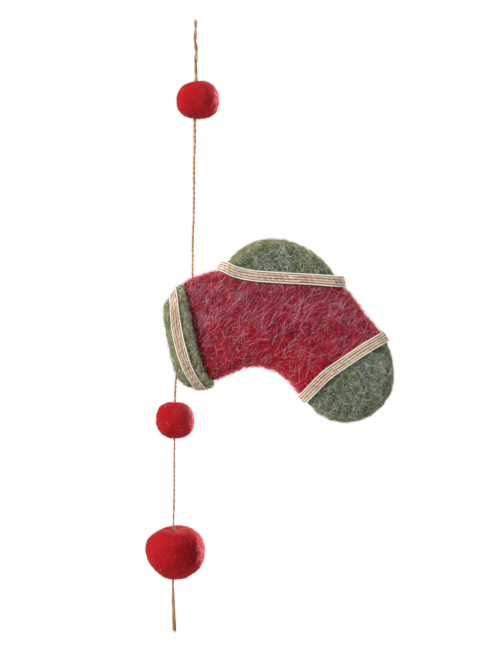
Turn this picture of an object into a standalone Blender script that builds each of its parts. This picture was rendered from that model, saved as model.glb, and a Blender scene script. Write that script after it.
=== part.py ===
"""Felt stocking garland: a jute twine threaded through three felted wool balls and a padded felt stocking.

The garland hangs straight down from its twine. +Z is up, +X is to the right, the stocking's back faces +Y,
and the origin is the centre of the twine's cut top end. Every length below is in millimetres.
"""
import bmesh
import bpy
import numpy as np

MM = 0.001
GAP = 0.3                     # what neighbouring pieces keep between them
SEAM_GAP = 0.4                # the same at a curved seam, whose two sides have unlike facets

# Twine: two plies twisted together.
TWINE_ROUTE = (               # x, z of its centre, in the plane y = 0
    (0.0, 0.0), (0.0, -5.6), (-0.25, -10.6), (0.4, -15.5), (0.25, -20.0), (0.1, -26.0), (0.4, -33.0),
    (0.1, -43.0), (-0.4, -54.0), (-0.5, -66.0), (-0.85, -78.0), (-0.85, -90.0), (-0.95, -104.0),
    (-1.35, -114.0), (-1.55, -124.0), (-1.6, -134.0), (-1.8, -142.0), (-2.8, -149.0), (-4.9, -157.0),
    (-7.2, -167.0), (-8.4, -177.0), (-9.0, -184.0), (-9.9, -189.0), (-10.5, -193.0), (-10.9, -197.5),
    (-11.15, -206.0), (-11.2, -216.0), (-11.3, -227.0), (-11.5, -238.0), (-11.5, -250.0), (-11.65, -262.0),
    (-11.95, -270.0), (-12.1, -279.0), (-12.15, -289.0), (-12.2, -302.0), (-12.15, -309.0),
    (-11.9, -316.0), (-11.6, -323.0), (-11.3, -329.1),
)
TWINE_SIZE = (                # depth below the top end, radius over both plies, length of one full twist
    (0.0, 0.82, 9.0), (34.0, 0.85, 8.0), (54.0, 0.68, 5.2), (100.0, 0.60, 5.0), (206.0, 0.60, 4.8),
    (226.0, 0.50, 4.6), (255.0, 0.50, 4.6), (270.0, 0.44, 9.0), (302.0, 0.65, 10.0), (312.0, 0.78, 12.0),
    (323.0, 0.98, 12.0), (329.1, 0.90, 12.0),
)
TWINE_SIDES = 8
TWINE_STEPS = 5.0             # rings in one full twist
PLY_GROOVE = 0.19             # how far the section's radius swings about its mean, as a share

# Felted wool balls.
BALLS = (                     # name, x, y, z of centre, half width, half height, squareness, dip, dip tilt
    ("ball_top", 1.2, 0.0, -42.4, 11.3, 10.4, 2.2, 0.5, 0.0),
    ("ball_middle", -11.1, 0.0, -215.4, 10.1, 10.0, 2.15, 0.5, 0.0),
    ("ball_bottom", -11.1, 2.0, -286.8, 15.6, 15.0, 2.06, 3.4, 0.30),
)
BALL_POLES = 0.065            # where the first and last rows are, as a share of the way from pole to pole
DIP_NARROW = 22.0             # how quickly the dip fades with the angle from its middle
BALL_LUMPS = (                # ball, direction x, y, z, height, narrowness
    ("ball_top", -0.75, -0.2, -0.60, 0.5, 9.0),
    ("ball_top", 0.72, -0.2, -0.66, 0.7, 9.0),
    ("ball_top", -0.50, 0.0, 0.86, -0.7, 9.0),
    ("ball_middle", 0.72, -0.2, -0.68, 0.5, 9.0),
    ("ball_middle", -0.72, -0.2, 0.68, 0.5, 9.0),
    ("ball_bottom", 0.86, -0.1, 0.50, 0.6, 8.0),
    ("ball_bottom", 0.86, -0.1, -0.50, 0.6, 8.0),
    ("ball_bottom", -0.88, -0.1, 0.46, 0.5, 8.0),
    ("ball_bottom", -0.42, 0.0, 0.90, -0.7, 8.0),
    ("ball_bottom", 0.45, -0.85, -0.20, -0.6, 6.0),
)

# Stocking outline, as x, z along each edge in turn. The seams end a little inside their ribbons' ends.
LEG_BACK = ((0.6, -138.8), (6.0, -136.9), (11.6, -135.6), (16.4, -133.2))
HEEL_SEAM = ((16.2, -133.0), (22.0, -135.7), (31.0, -137.6), (46.5, -138.8), (62.0, -139.6), (76.8, -140.7))
HEEL_EDGE = (
    (17.2, -130.6), (20.9, -126.9), (26.5, -122.2), (34.0, -119.0), (43.5, -117.9), (53.5, -119.9),
    (63.5, -125.3), (70.6, -131.9), (75.4, -138.6),
)
SOLE_EDGE = ((76.9, -140.9), (81.6, -146.6), (88.7, -155.2), (94.5, -162.9), (101.4, -170.8))
TOE_SEAM = ((101.4, -171.0), (94.0, -175.2), (86.3, -180.2), (78.5, -185.5), (69.6, -192.0), (58.9, -202.9))
TOE_EDGE = (
    (102.7, -172.9), (105.4, -180.8), (106.6, -191.0), (104.6, -201.0), (98.6, -209.4), (89.5, -214.9),
    (79.5, -216.2), (68.6, -213.0), (60.0, -205.1),
)
INSTEP = ((58.7, -203.0), (53.3, -196.6), (47.5, -190.8), (40.0, -187.0), (32.0, -185.8), (23.0, -187.8))
OPENING = ((-2.0, -199.0), (-16.0, -190.0), (-18.0, -155.0))      # hidden in the cuff
BORE_SPAN = (-133.0, -200.0)  # heights between which the twine's bore runs through the stocking
FELT_HALF = 4.8               # half thickness of the padded felt inside its rounded edge
FELT_CROWN = 0.9              # further rise towards the middle
CROWN_REACH = 13.0
EDGE_ROUND = 5.5              # how far in from the outline the edge is rounded
RIM_HALF = 0.35
FELT_WAVE = 0.12              # unevenness of the felt
EDGE_CROWD = 0.65             # how much the rows of the felt's grid crowd towards its rounded edges

# Cuff, in its own directions: out of the stocking's top, and along the seam between cuff and leg.
SEAM_MIDDLE = np.array((-1.0, -168.5))
SEAM_ALONG = np.array((0.217, -0.976))
SEAM_OUT = np.array((-0.976, -0.217))
SEAM_TOP = -26.9              # where the leg's seam starts and ends, along the seam
SEAM_FOOT = 27.1
LIP_START = 14.0              # past here the seam bends towards the instep
LIP_BEND = 0.022
CUFF_RINGS = (                # out, start along, end along, half thickness
    (0.0, -25.2, 28.2, 6.6),
    (0.9, -26.6, 29.8, 7.8),
    (2.8, -25.7, 30.4, 8.4),
    (5.2, -23.4, 29.7, 8.5),
    (8.3, -21.2, 28.0, 8.0),
    (10.8, -19.6, 26.2, 6.9),
    (12.6, -16.6, 23.8, 5.3),
    (13.8, -11.5, 20.6, 3.3),
    (14.4, -4.0, 16.0, 0.9),
)
CUFF_SQUARE = 3.0             # exponent of the rounded-rectangle sections
CUFF_SPAN = 0.9995            # how much of each section's length is meshed, which leaves a thin rim

# Woven ribbon: five raised cords side by side, wrapped round front and back.
RIBBON_WIDTH = 6.2
RIBBON_THICK = 1.2
RIBBON_GROOVE = 0.45
RIBBON_CORDS = 5
RIBBON_STEPS = 52
RIBBON_CLEAR = 0.55           # how far the ribbon's line is lifted off the felt
RIBBON_REST = 0.55            # how far across its own width each way a ribbon feels for the felt
LEAD_STEPS = 24               # places past each end of a seam, where the ribbon turns to the back
LEAD_STEP = 0.12
END_TURN = 0.25               # share of a seam over which the ribbon's heading turns to that of its end
HEEL_BACK = ((16.2, -133.0), (22.5, -130.9), (32.0, -132.6), (46.5, -136.0), (62.0, -138.8), (76.8, -140.7))
TOE_BACK = ((101.4, -171.0), (90.5, -178.4), (80.0, -186.0), (69.8, -194.0), (58.9, -202.9))
HEEL_SLANT = (0.5, -0.28)     # lean of the ribbon's ends, at the seam's start and end
TOE_SLANT = (0.0, 0.10)
CUFF_RIBBON_OUT = 8.2         # middle of the cuff ribbon from the seam
CUFF_RIBBON_BOW = 3.6         # how much nearer to the seam its ends are
CUFF_MIDDLE = 2.2             # middle of the cuff along the seam
CUFF_HALF_SPAN = 27.0
CUFF_RIBBON_REACH = 2.6       # how far each way the ribbon's slope over the cuff is measured


def evenly(line, count, bend=0.0):
    """The same line with count points, spaced by arc length and, with bend, closer where it turns."""
    step = np.diff(line, axis=0)
    length = np.linalg.norm(step, axis=1)
    weight = length / length.sum()
    if bend:
        heading = step / np.maximum(length, 1e-9)[:, None]
        turn = 1.0 - np.clip((heading[1:] * heading[:-1]).sum(axis=1), -1.0, 1.0)
        turn = np.sqrt(np.concatenate([turn[:1], turn]))
        weight = weight + bend * turn / max(turn.sum(), 1e-9)
    place = np.concatenate([[0.0], np.cumsum(weight)])
    wanted = np.linspace(0.0, place[-1], count)
    return np.stack([np.interp(wanted, place, column) for column in line.T], axis=1)


def smooth(points, count):
    """Points evenly spaced along the Catmull-Rom curve through the given ones."""
    points = np.asarray(points, float)
    ends = np.vstack([2 * points[0] - points[1], points, 2 * points[-1] - points[-2]])
    a, b, c, d = (ends[i:len(ends) - 3 + i, None] for i in range(4))
    t = np.linspace(0.0, 1.0, 24, endpoint=False)[:, None]
    curve = 0.5 * (2 * b + (c - a) * t + (2 * a - 5 * b + 4 * c - d) * t**2 + (3 * b - a - 3 * c + d) * t**3)
    return evenly(np.vstack([curve.reshape(-1, points.shape[1]), points[-1:]]), count)


def shifted(line, offset):
    """A flat line moved sideways, to the left of its own heading for a positive offset."""
    heading = np.gradient(line, axis=0)
    heading /= np.linalg.norm(heading, axis=1)[:, None]
    return line + offset * np.stack([-heading[:, 1], heading[:, 0]], axis=1)


def material(name, colour, roughness):
    made = bpy.data.materials.new(name)
    made.use_nodes = True
    shader = made.node_tree.nodes["Principled BSDF"]
    shader.inputs["Base Color"].default_value = (*colour, 1.0)
    shader.inputs["Roughness"].default_value = roughness
    shader.inputs["Metallic"].default_value = 0.0
    return made


def add_mesh(name, points, faces, finish, smooth_angle=50.0):
    """A mesh object from points in millimetres, with its faces turned outwards."""
    mesh = bpy.data.meshes.new(name)
    mesh.from_pydata((np.asarray(points).reshape(-1, 3) * MM).tolist(), [], faces)
    work = bmesh.new()
    work.from_mesh(mesh)
    bmesh.ops.recalc_face_normals(work, faces=work.faces)
    work.to_mesh(mesh)
    work.free()
    mesh.shade_smooth()
    mesh.set_sharp_from_angle(angle=np.radians(smooth_angle))
    mesh.materials.append(finish)
    made = bpy.data.objects.new(name, mesh)
    bpy.context.scene.collection.objects.link(made)
    return made


def tube_faces(rings, sides, closed):
    """Quads between neighbouring rings of points; closed joins the last ring to the first."""
    ring, side = np.meshgrid(np.arange(rings if closed else rings - 1), np.arange(sides), indexing="ij")
    after, beside = (ring + 1) % rings, (side + 1) % sides
    corners = (ring * sides + side, ring * sides + beside, after * sides + beside, after * sides + side)
    return np.stack(corners, axis=-1).reshape(-1, 4).tolist()


def strip_caps(rings, sides):
    """Quads that close the first and last ring, from each point to its opposite on the other face."""
    half = sides // 2
    faces = []
    for start in (0, (rings - 1) * sides):
        for k in range(half - 1):
            faces.append((start + k, start + k + 1, start + sides - 2 - k, start + sides - 1 - k))
    return faces


# ---------------------------------------------------------------- twine

def twine_line(count):
    """Centre points of the twine, evenly spaced from end to end."""
    flat = smooth(TWINE_ROUTE, count)
    return np.stack([flat[:, 0], np.zeros(count), flat[:, 1]], axis=1)


def twine_radius(depth):
    table = np.array(TWINE_SIZE)
    return np.interp(depth, table[:, 0], table[:, 1])


def add_twine(finish):
    """Two-lobed section, turned along the twine by its twist: its radius is R (mean + swing cos 2a)."""
    table = np.array(TWINE_SIZE)
    fine = twine_line(1200)
    depth = -fine[:, 2]
    step = np.linalg.norm(np.diff(fine, axis=0), axis=1)
    per_mm = 1.0 / np.interp(depth, table[:, 0], table[:, 2])
    turns = np.concatenate([[0.0], np.cumsum(step * 0.5 * (per_mm[1:] + per_mm[:-1]))])
    rings = int(round(turns[-1] * TWINE_STEPS))
    turn = np.linspace(0.0, turns[-1], rings)
    centre = np.stack([np.interp(turn, turns, column) for column in fine.T], axis=1)
    around = 2 * np.pi * np.arange(TWINE_SIDES) / TWINE_SIDES
    swing = (1 - PLY_GROOVE) + PLY_GROOVE * np.cos(2 * (around[None] - 2 * np.pi * turn[:, None]))
    radius = twine_radius(-centre[:, 2])[:, None] * swing
    ring = np.stack([radius * np.cos(around), radius * np.sin(around), 0 * radius], axis=-1)
    faces = tube_faces(rings, TWINE_SIDES, closed=False)
    faces.append(tuple(range(TWINE_SIDES)))
    faces.append(tuple(range((rings - 1) * TWINE_SIDES, rings * TWINE_SIDES)))
    return add_mesh("twine", centre[:, None] + ring, faces, finish, smooth_angle=80.0)


def bore_rings(top, bottom, count, sides):
    """Rings round the twine from height top to height bottom, one gap outside it."""
    centre = twine_line(800)
    height = np.linspace(top, bottom, count)
    x = np.interp(-height, -centre[:, 2], centre[:, 0])
    radius = twine_radius(-height) + GAP
    around = 2 * np.pi * np.arange(sides) / sides
    return np.stack([x[:, None] + radius[:, None] * np.cos(around), radius[:, None] * np.sin(around),
                     np.repeat(height[:, None], sides, axis=1)], axis=-1)


def add_bore_cutter():
    rings, sides = 16, 10
    points = bore_rings(*BORE_SPAN, rings, sides)
    faces = tube_faces(rings, sides, closed=False)
    faces.append(tuple(range(sides)))
    faces.append(tuple(range((rings - 1) * sides, rings * sides)))
    cutter = add_mesh("twine_bore", points, faces, material("cutter", (0.5, 0.5, 0.5), 0.5))
    cutter.hide_render = True
    cutter.display_type = "WIRE"
    return cutter


def cut(piece, cutter):
    boolean = piece.modifiers.new("bore", "BOOLEAN")
    boolean.operation = "DIFFERENCE"
    boolean.solver = "EXACT"
    boolean.object = cutter


# ---------------------------------------------------------------- balls

def add_ball(row, finish):
    """Rounded ball with lumps, bored along the twine.

    Its surface is centre + half sizes * direction / (sum |direction|^n)^(1/n), plus each lump's height times
    exp(narrowness (cos angle to the lump - 1)). The mouth at the top dips towards the front by its tilt.
    """
    name, x, y, z, half_width, half_height, square, dip, tilt = row
    sides, rows = (26, 13) if half_width > 12 else (20, 11)
    polar = np.linspace(BALL_POLES, 1 - BALL_POLES, rows)[:, None] * np.pi
    around = (2 * np.pi * np.arange(sides) / sides)[None]
    direction = np.stack([np.sin(polar) * np.cos(around), np.sin(polar) * np.sin(around),
                          np.cos(polar) + 0 * around], axis=-1)
    reach = (np.abs(direction) ** square).sum(axis=-1) ** (-1 / square)
    points = direction * reach[..., None] * np.array((half_width, half_width, half_height))
    for ball, *centre, height, narrow in BALL_LUMPS:
        if ball == name:
            centre = np.array(centre) / np.linalg.norm(centre)
            points += direction * (height * np.exp(narrow * (direction @ centre - 1)))[..., None]
    mouth = np.array((0.0, -np.sin(tilt), np.cos(tilt)))
    sunk = dip * np.exp(DIP_NARROW * (direction @ mouth - 1))
    points -= sunk[..., None] * np.array((0.0, 0.0, 1.0))
    points += (x, y, z)
    mouths = points[-1, :, 2].mean() + 0.4, points[0, :, 2].min() - 0.1
    bore = bore_rings(*mouths, 5, sides)
    return add_mesh(name, np.concatenate([points, bore]), tube_faces(rows + 5, sides, closed=True), finish)


# ---------------------------------------------------------------- stocking

def cuff_place(out, along):
    """x, z of a place given out of the stocking's top and along the seam."""
    return SEAM_MIDDLE + np.multiply.outer(out, SEAM_OUT) + np.multiply.outer(along, SEAM_ALONG)


def seam_lift(along):
    """How far the seam bends towards the instep near its lower end."""
    return -LIP_BEND * np.clip(along - LIP_START, 0.0, None) ** 2


def stocking_outline():
    edges = [smooth(line, 60) for line in (LEG_BACK, HEEL_EDGE, SOLE_EDGE, TOE_EDGE, INSTEP)]
    seam_ends = [cuff_place(0.0, SEAM_FOOT) - 4.0 * SEAM_OUT, cuff_place(0.0, SEAM_TOP)]
    outline = np.vstack([*edges, seam_ends[:1], np.array(OPENING), seam_ends[1:]])
    return np.vstack([outline, outline[:1]])


OUTLINE = stocking_outline()


def edge_distance(place):
    """Distance from each place to the stocking's outline, and whether it lies inside."""
    flat = place.reshape(-1, 1, 2)
    start, end = OUTLINE[:-1], OUTLINE[1:]
    run = end - start
    share = ((flat - start) * run).sum(axis=-1) / np.maximum((run**2).sum(axis=-1), 1e-9)
    nearest = start + np.clip(share, 0.0, 1.0)[..., None] * run
    distance = np.linalg.norm(flat - nearest, axis=-1).min(axis=1)
    x, z = flat[..., 0], flat[..., 1]
    crosses = (start[:, 1] > z) != (end[:, 1] > z)
    rise = np.where(np.abs(run[:, 1]) < 1e-9, 1e-9, run[:, 1])
    inside = (crosses & (x < start[:, 0] + (z - start[:, 1]) / rise * run[:, 0])).sum(axis=1) % 2 == 1
    return distance.reshape(place.shape[:-1]), inside.reshape(place.shape[:-1])


def felt_half(place):
    """Half thickness of the felt: a quarter round at the outline, then a slow rise and slight waves."""
    distance, inside = edge_distance(place)
    shoulder = np.sqrt(1 - (1 - np.clip(distance / EDGE_ROUND, 0.0, 1.0)) ** 2)
    crown = 1 - np.exp(-distance / CROWN_REACH)
    waves = np.sin(0.42 * place[..., 0] + 1.0) * np.sin(0.38 * place[..., 1]) * np.clip(distance / 8, 0, 1)
    half = FELT_HALF * shoulder + FELT_CROWN * crown + FELT_WAVE * waves
    return np.where(inside, np.maximum(half, RIM_HALF), RIM_HALF), inside


def crowded(count):
    """Shares from 0 to 1 that lie closer together near both ends, where the felt rounds off."""
    share = np.linspace(0.0, 1.0, count)
    return (1 - EDGE_CROWD) * share + EDGE_CROWD * (0.5 - 0.5 * np.cos(np.pi * share))


def between(start, end, count):
    """A straight line of places, crowded towards both ends."""
    return start + crowded(count)[:, None] * (end - start)


def patch(lower, upper, left, right):
    """Coons patch: the flat grid that four edge lines enclose, each blended towards the one opposite."""
    u = np.linspace(0.0, 1.0, len(lower))[:, None, None]
    v = crowded(len(left))[None, :, None]
    across = (1 - v) * lower[:, None] + v * upper[:, None]
    along = (1 - u) * left[None] + u * right[None]
    corners = ((1 - u) * (1 - v) * lower[0] + u * (1 - v) * lower[-1]
               + (1 - u) * v * upper[0] + u * v * upper[-1])
    return across + along - corners


def add_pad(name, grid, finish):
    """Padded felt over a flat grid: the front at minus the half thickness, the back at plus it."""
    half, _ = felt_half(grid)
    front = np.stack([grid[..., 0], -half, grid[..., 1]], axis=-1)
    back = np.stack([grid[..., 0], half, grid[..., 1]], axis=-1)[:, ::-1]
    rings = np.concatenate([front, back], axis=1)
    count, sides = rings.shape[:2]
    faces = tube_faces(count, sides, closed=False) + strip_caps(count, sides)
    return add_mesh(name, rings, faces, finish)


def add_body(finish):
    rows = 12
    along = between(np.array([SEAM_FOOT]), np.array([SEAM_TOP]), rows)[:, 0]
    left = cuff_place(seam_lift(along) - SEAM_GAP, along)
    leg = smooth([left[-1], *LEG_BACK], 8)
    heel = shifted(smooth(HEEL_SEAM, 14), -SEAM_GAP / 2)
    sole = smooth(SOLE_EDGE, 9)
    upper = np.vstack([leg[:-1], heel, sole[1:]])
    toe = shifted(smooth(TOE_SEAM, rows), -SEAM_GAP / 2)
    upper[-1] = toe[0]
    lower = smooth([left[0], *INSTEP[::-1][:-1], toe[-1]], len(upper))
    right = between(lower[-1], upper[-1], rows)
    right[:, 1] = np.interp(right[:, 0], toe[::-1, 0], toe[::-1, 1])
    return add_pad("stocking_body", patch(lower, upper, left, right), finish)


def add_patch(name, seam, edge, finish):
    """Heel or toe: the felt between its seam and its rounded edge, with short blunt corners."""
    columns, rows = 17, 8
    lower = shifted(smooth(seam, columns), SEAM_GAP / 2)
    upper = smooth(edge, columns)
    grid = patch(lower, upper, between(lower[0], upper[0], rows), between(lower[-1], upper[-1], rows))
    return add_pad(name, grid, finish)


def cuff_ring(out, count):
    """One rounded-rectangle section of the cuff, as out, along and y, front from top to bottom, then back."""
    table = np.array(CUFF_RINGS)
    start, end, half = (np.interp(out, table[:, 0], table[:, k]) for k in (1, 2, 3))
    share = CUFF_SPAN * np.cos(np.linspace(0.94, 0.06, count) * np.pi) / np.cos(0.06 * np.pi)
    along = 0.5 * (start + end) + 0.5 * (end - start) * share
    y = half * (1 - np.abs(share) ** CUFF_SQUARE) ** (1 / CUFF_SQUARE)
    outs = out + seam_lift(along) * np.clip(1 - out / 9.0, 0.0, 1.0)
    front = np.stack([outs, along, -y], axis=1)
    back = np.stack([outs, along, y], axis=1)[::-1]
    return np.vstack([front, back])


def cuff_points(local):
    place = SEAM_MIDDLE + local[..., :1] * SEAM_OUT + local[..., 1:2] * SEAM_ALONG
    return np.stack([place[..., 0], local[..., 2], place[..., 1]], axis=-1)


def add_cuff(finish):
    rings = cuff_points(np.stack([cuff_ring(row[0], 13) for row in CUFF_RINGS]))
    count, sides = rings.shape[:2]
    return add_mesh("cuff", rings, tube_faces(count, sides, closed=False) + strip_caps(count, sides), finish)


# ---------------------------------------------------------------- ribbons

def unit(vectors):
    return vectors / np.linalg.norm(vectors, axis=-1, keepdims=True)


def outwards(loop, across):
    """Direction away from the felt at each point of a closed line, square to the line and to its width."""
    return unit(np.cross(np.roll(loop, -1, axis=0) - np.roll(loop, 1, axis=0), across))


def ribbon_section():
    """Across and outwards: a flat inside, and on the outside one ridge for each cord with grooves between."""
    count = 2 * RIBBON_CORDS + 1
    across = np.linspace(-0.5, 0.5, count) * RIBBON_WIDTH
    height = RIBBON_THICK - RIBBON_GROOVE * (np.arange(count) % 2 == 0)
    outer = np.stack([across, height], axis=1)
    inner = np.array(((0.5 * RIBBON_WIDTH, 0.0), (-0.5 * RIBBON_WIDTH, 0.0)))
    return np.vstack([outer, inner])


def add_ribbon(name, line, width, finish):
    """Carries the ribbon's section round a closed line; width is the direction across it at each point."""
    joined = np.hstack([line, width])
    steady = evenly(np.vstack([joined, joined[:1]]), 241)[:-1]
    steady[:, :3] += RIBBON_CLEAR * outwards(steady[:, :3], steady[:, 3:])
    steady = evenly(np.vstack([steady, steady[:1]]), RIBBON_STEPS + 1, bend=0.9)[:-1]
    centre, across = steady[:, :3], unit(steady[:, 3:])
    normal = outwards(centre, across)
    section = ribbon_section()
    points = centre[:, None] + section[None, :, :1] * across[:, None] + section[None, :, 1:] * normal[:, None]
    return add_mesh(name, points, tube_faces(RIBBON_STEPS, len(section), closed=True), finish, 30.0)


def felt_wrap(front, back, slant):
    """The closed line of a ribbon round the felt, along its front seam and back by the other line.

    Both lines run on past their ends with one shared heading. At each place the ribbon lies on the thickest
    felt under its width.
    """
    runs = [smooth(route, 90) for route in (front, back)]
    headings = [unit(np.gradient(run, axis=0)) for run in runs]
    start, end = (unit(headings[0][k] + headings[1][k]) for k in (0, -1))
    lead = np.arange(LEAD_STEPS, 0, -1)[:, None] * LEAD_STEP
    sides = []
    for flat, heading, face in zip(runs, headings, (-1, 1)):
        flat = np.vstack([flat[0] - lead * start, flat, flat[-1] + lead[::-1] * end])
        heading = np.vstack([np.tile(start, (LEAD_STEPS, 1)), heading, np.tile(end, (LEAD_STEPS, 1))])
        share = np.linspace(0.0, 1.0, len(flat))[:, None]
        near_start, near_end = np.clip(1 - share / END_TURN, 0, 1), np.clip(1 - (1 - share) / END_TURN, 0, 1)
        heading = unit(heading * (1 - near_start) * (1 - near_end) + start * near_start + end * near_end)
        lean = slant[0] * near_start + slant[1] * near_end
        across = np.stack([-heading[:, 1], heading[:, 0]], axis=1) + lean * heading
        reach = np.linspace(-RIBBON_REST, RIBBON_REST, 9)[:, None, None] * RIBBON_WIDTH
        half, inside = felt_half(flat[None] + reach * across[None])
        keep = inside.any(axis=0)
        y = face * half.max(axis=0)[keep]
        flat, across = flat[keep], across[keep]
        line = np.stack([flat[:, 0], y, flat[:, 1]], axis=1)
        width = np.stack([across[:, 0], 0 * y, across[:, 1]], axis=1)
        sides.append((line, width) if face < 0 else (line[::-1], width[::-1]))
    return (np.vstack(pair) for pair in zip(*sides))


def cuff_wrap():
    """The closed line of the ribbon round the cuff's middle, which bows outwards between its two ends."""
    along = cuff_ring(CUFF_RIBBON_OUT, 60)[:, 1]
    out = CUFF_RIBBON_OUT - CUFF_RIBBON_BOW * ((along - CUFF_MIDDLE) / CUFF_HALF_SPAN) ** 2
    middle, inner, outer = (
        cuff_points(np.stack([cuff_ring(value + shift, 60)[k] for k, value in enumerate(out)]))
        for shift in (0.0, -CUFF_RIBBON_REACH, CUFF_RIBBON_REACH))
    return middle, unit(inner - outer)


# ---------------------------------------------------------------- assembly

def build():
    for old in list(bpy.data.objects):
        bpy.data.objects.remove(old, do_unlink=True)
    jute = material("jute_twine", (0.48, 0.30, 0.17), 0.85)
    ball_felt = material("ball_felt", (0.49, 0.016, 0.022), 0.92)
    red_felt = material("red_felt", (0.33, 0.022, 0.036), 0.95)
    green_felt = material("green_felt", (0.15, 0.17, 0.08), 0.95)
    weave = material("jute_ribbon", (0.55, 0.40, 0.28), 0.85)
    add_twine(jute)
    for row in BALLS:
        add_ball(row, ball_felt)
    cutter = add_bore_cutter()
    cut(add_body(red_felt), cutter)
    cut(add_cuff(green_felt), cutter)
    add_patch("heel", HEEL_SEAM, HEEL_EDGE, green_felt)
    add_patch("toe", TOE_SEAM, TOE_EDGE, green_felt)
    add_ribbon("heel_ribbon", *felt_wrap(HEEL_SEAM, HEEL_BACK, HEEL_SLANT), weave)
    add_ribbon("toe_ribbon", *felt_wrap(TOE_SEAM, TOE_BACK, TOE_SLANT), weave)
    add_ribbon("cuff_ribbon", *cuff_wrap(), weave)


build()
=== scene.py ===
# %% [markdown]
# # A felt stocking garland
# A jute twine hangs straight down through three felted wool balls and a padded felt stocking that is tied
# round with flat jute ribbon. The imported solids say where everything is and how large. They are plain, as
# solids for a simulator have to be, so each is replaced here, in its own place, by a piece that shows its
# wool or jute.
#
# The work goes in the order in which a maker would look at it: the camera first, then the twine that carries
# everything, then the felt, its loose fibres, the ribbons, and the studio at the end.

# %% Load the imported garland
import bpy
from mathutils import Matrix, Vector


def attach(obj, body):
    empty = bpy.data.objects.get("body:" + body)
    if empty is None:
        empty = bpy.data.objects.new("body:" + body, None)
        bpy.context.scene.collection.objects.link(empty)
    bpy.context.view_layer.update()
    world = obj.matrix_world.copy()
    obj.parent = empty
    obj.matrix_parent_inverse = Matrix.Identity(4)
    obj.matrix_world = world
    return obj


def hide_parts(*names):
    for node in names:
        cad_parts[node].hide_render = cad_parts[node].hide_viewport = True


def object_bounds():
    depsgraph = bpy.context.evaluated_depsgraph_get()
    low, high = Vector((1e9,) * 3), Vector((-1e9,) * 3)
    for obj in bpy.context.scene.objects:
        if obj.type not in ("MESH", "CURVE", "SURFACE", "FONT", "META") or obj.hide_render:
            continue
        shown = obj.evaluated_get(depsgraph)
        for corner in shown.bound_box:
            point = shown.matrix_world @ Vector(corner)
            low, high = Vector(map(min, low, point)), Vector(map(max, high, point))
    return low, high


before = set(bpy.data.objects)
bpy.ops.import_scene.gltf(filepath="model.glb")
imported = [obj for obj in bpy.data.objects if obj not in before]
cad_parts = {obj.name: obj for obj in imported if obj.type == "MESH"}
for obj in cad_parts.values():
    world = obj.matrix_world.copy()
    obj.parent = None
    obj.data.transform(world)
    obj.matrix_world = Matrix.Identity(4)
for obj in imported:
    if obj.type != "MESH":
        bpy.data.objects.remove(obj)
cad_box = [[float(x) for x in corner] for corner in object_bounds()]

import math
import bpy
import numpy as np
from mathutils import Vector

MM = 0.001                    # lengths below are in millimetres, and become metres as a mesh is made
low, high = np.array(cad_box)
middle = (low + high) / 2
print("garland", np.round((high - low) / MM, 1), "mm, in", len(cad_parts), "solids")

# %% [markdown]
# ## Camera
# The garland is looked at level and square on. A long lens from a metre and a half keeps its verticals
# straight and shows the balls almost without perspective.

# %% Stand the camera level in front
LENS = 150.0
SENSOR = 36.0
VIEW_SHARE = 1.0994           # the height that the view takes in, over the garland's
AIM_SHIFT = (-13.9, 0.0, -5.0)                   # from the garland's middle, to the left and a little down
AIM = middle + np.array(AIM_SHIFT) * MM
distance = VIEW_SHARE * (high[2] - low[2]) * LENS / SENSOR
lens = bpy.data.cameras.new("camera")
lens.lens, lens.sensor_width, lens.clip_start = LENS, SENSOR, 0.01
camera = bpy.data.objects.new("camera", lens)
camera.location = (AIM[0], -distance, AIM[2])
camera.rotation_euler = (math.pi / 2, 0.0, 0.0)
bpy.context.scene.collection.objects.link(camera)
bpy.context.scene.camera = camera
print("camera", round(distance, 3), "m in front")

# %% [markdown]
# ## Lines and grids
# Everything on the garland is a line with a section carried along it, or a grid of points bent over a form.
# These few helpers work on whole arrays: a smooth line through named places, places at even steps along a
# line, and a grid of points turned into a closed mesh.

# %% Lines through named places
CURVE_STEPS = 24              # between two named places


def unit(vectors):
    """Each vector divided by its own length."""
    return vectors / np.maximum(np.linalg.norm(vectors, axis=-1, keepdims=True), 1e-12)


def evenly(line, count):
    """The same line with count points, at equal steps of arc length."""
    length = np.linalg.norm(np.diff(line, axis=0), axis=1)
    place = np.concatenate([[0.0], np.cumsum(length / length.sum())])
    wanted = np.linspace(0.0, place[-1], count)
    return np.stack([np.interp(wanted, place, column) for column in line.T], axis=1)


def smooth(points, count):
    """Catmull-Rom curve: cubic stretches, whose slope at a point is half the step between its neighbours."""
    points = np.asarray(points, float)
    ends = np.vstack([2 * points[0] - points[1], points, 2 * points[-1] - points[-2]])
    a, b, c, d = (ends[i:len(ends) - 3 + i, None] for i in range(4))
    t = np.linspace(0.0, 1.0, CURVE_STEPS, endpoint=False)[:, None]
    curve = 0.5 * (2 * b + (c - a) * t + (2 * a - 5 * b + 4 * c - d) * t**2 + (3 * b - a - 3 * c + d) * t**3)
    return evenly(np.vstack([curve.reshape(-1, points.shape[1]), points[-1:]]), count)


def shifted(line, offset):
    """A flat line moved sideways by offset, to the left of its own heading."""
    heading = unit(np.gradient(line, axis=0))
    return line + offset * np.stack([-heading[:, 1], heading[:, 0]], axis=1)


def waves(place, size, seed, count=14):
    """Soft unevenness, mostly between -1 and 1.

    It is count sine waves in random directions, about size apart, added up and divided by the root of count.
    """
    chance = np.random.default_rng(seed)
    direction = unit(chance.normal(size=(count, place.shape[-1])))
    pitch = 2 * np.pi / (size * chance.uniform(0.7, 1.5, count))
    start = chance.uniform(0, 2 * np.pi, count)
    return np.sin((place @ direction.T) * pitch + start).sum(axis=-1) / math.sqrt(count)


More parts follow.
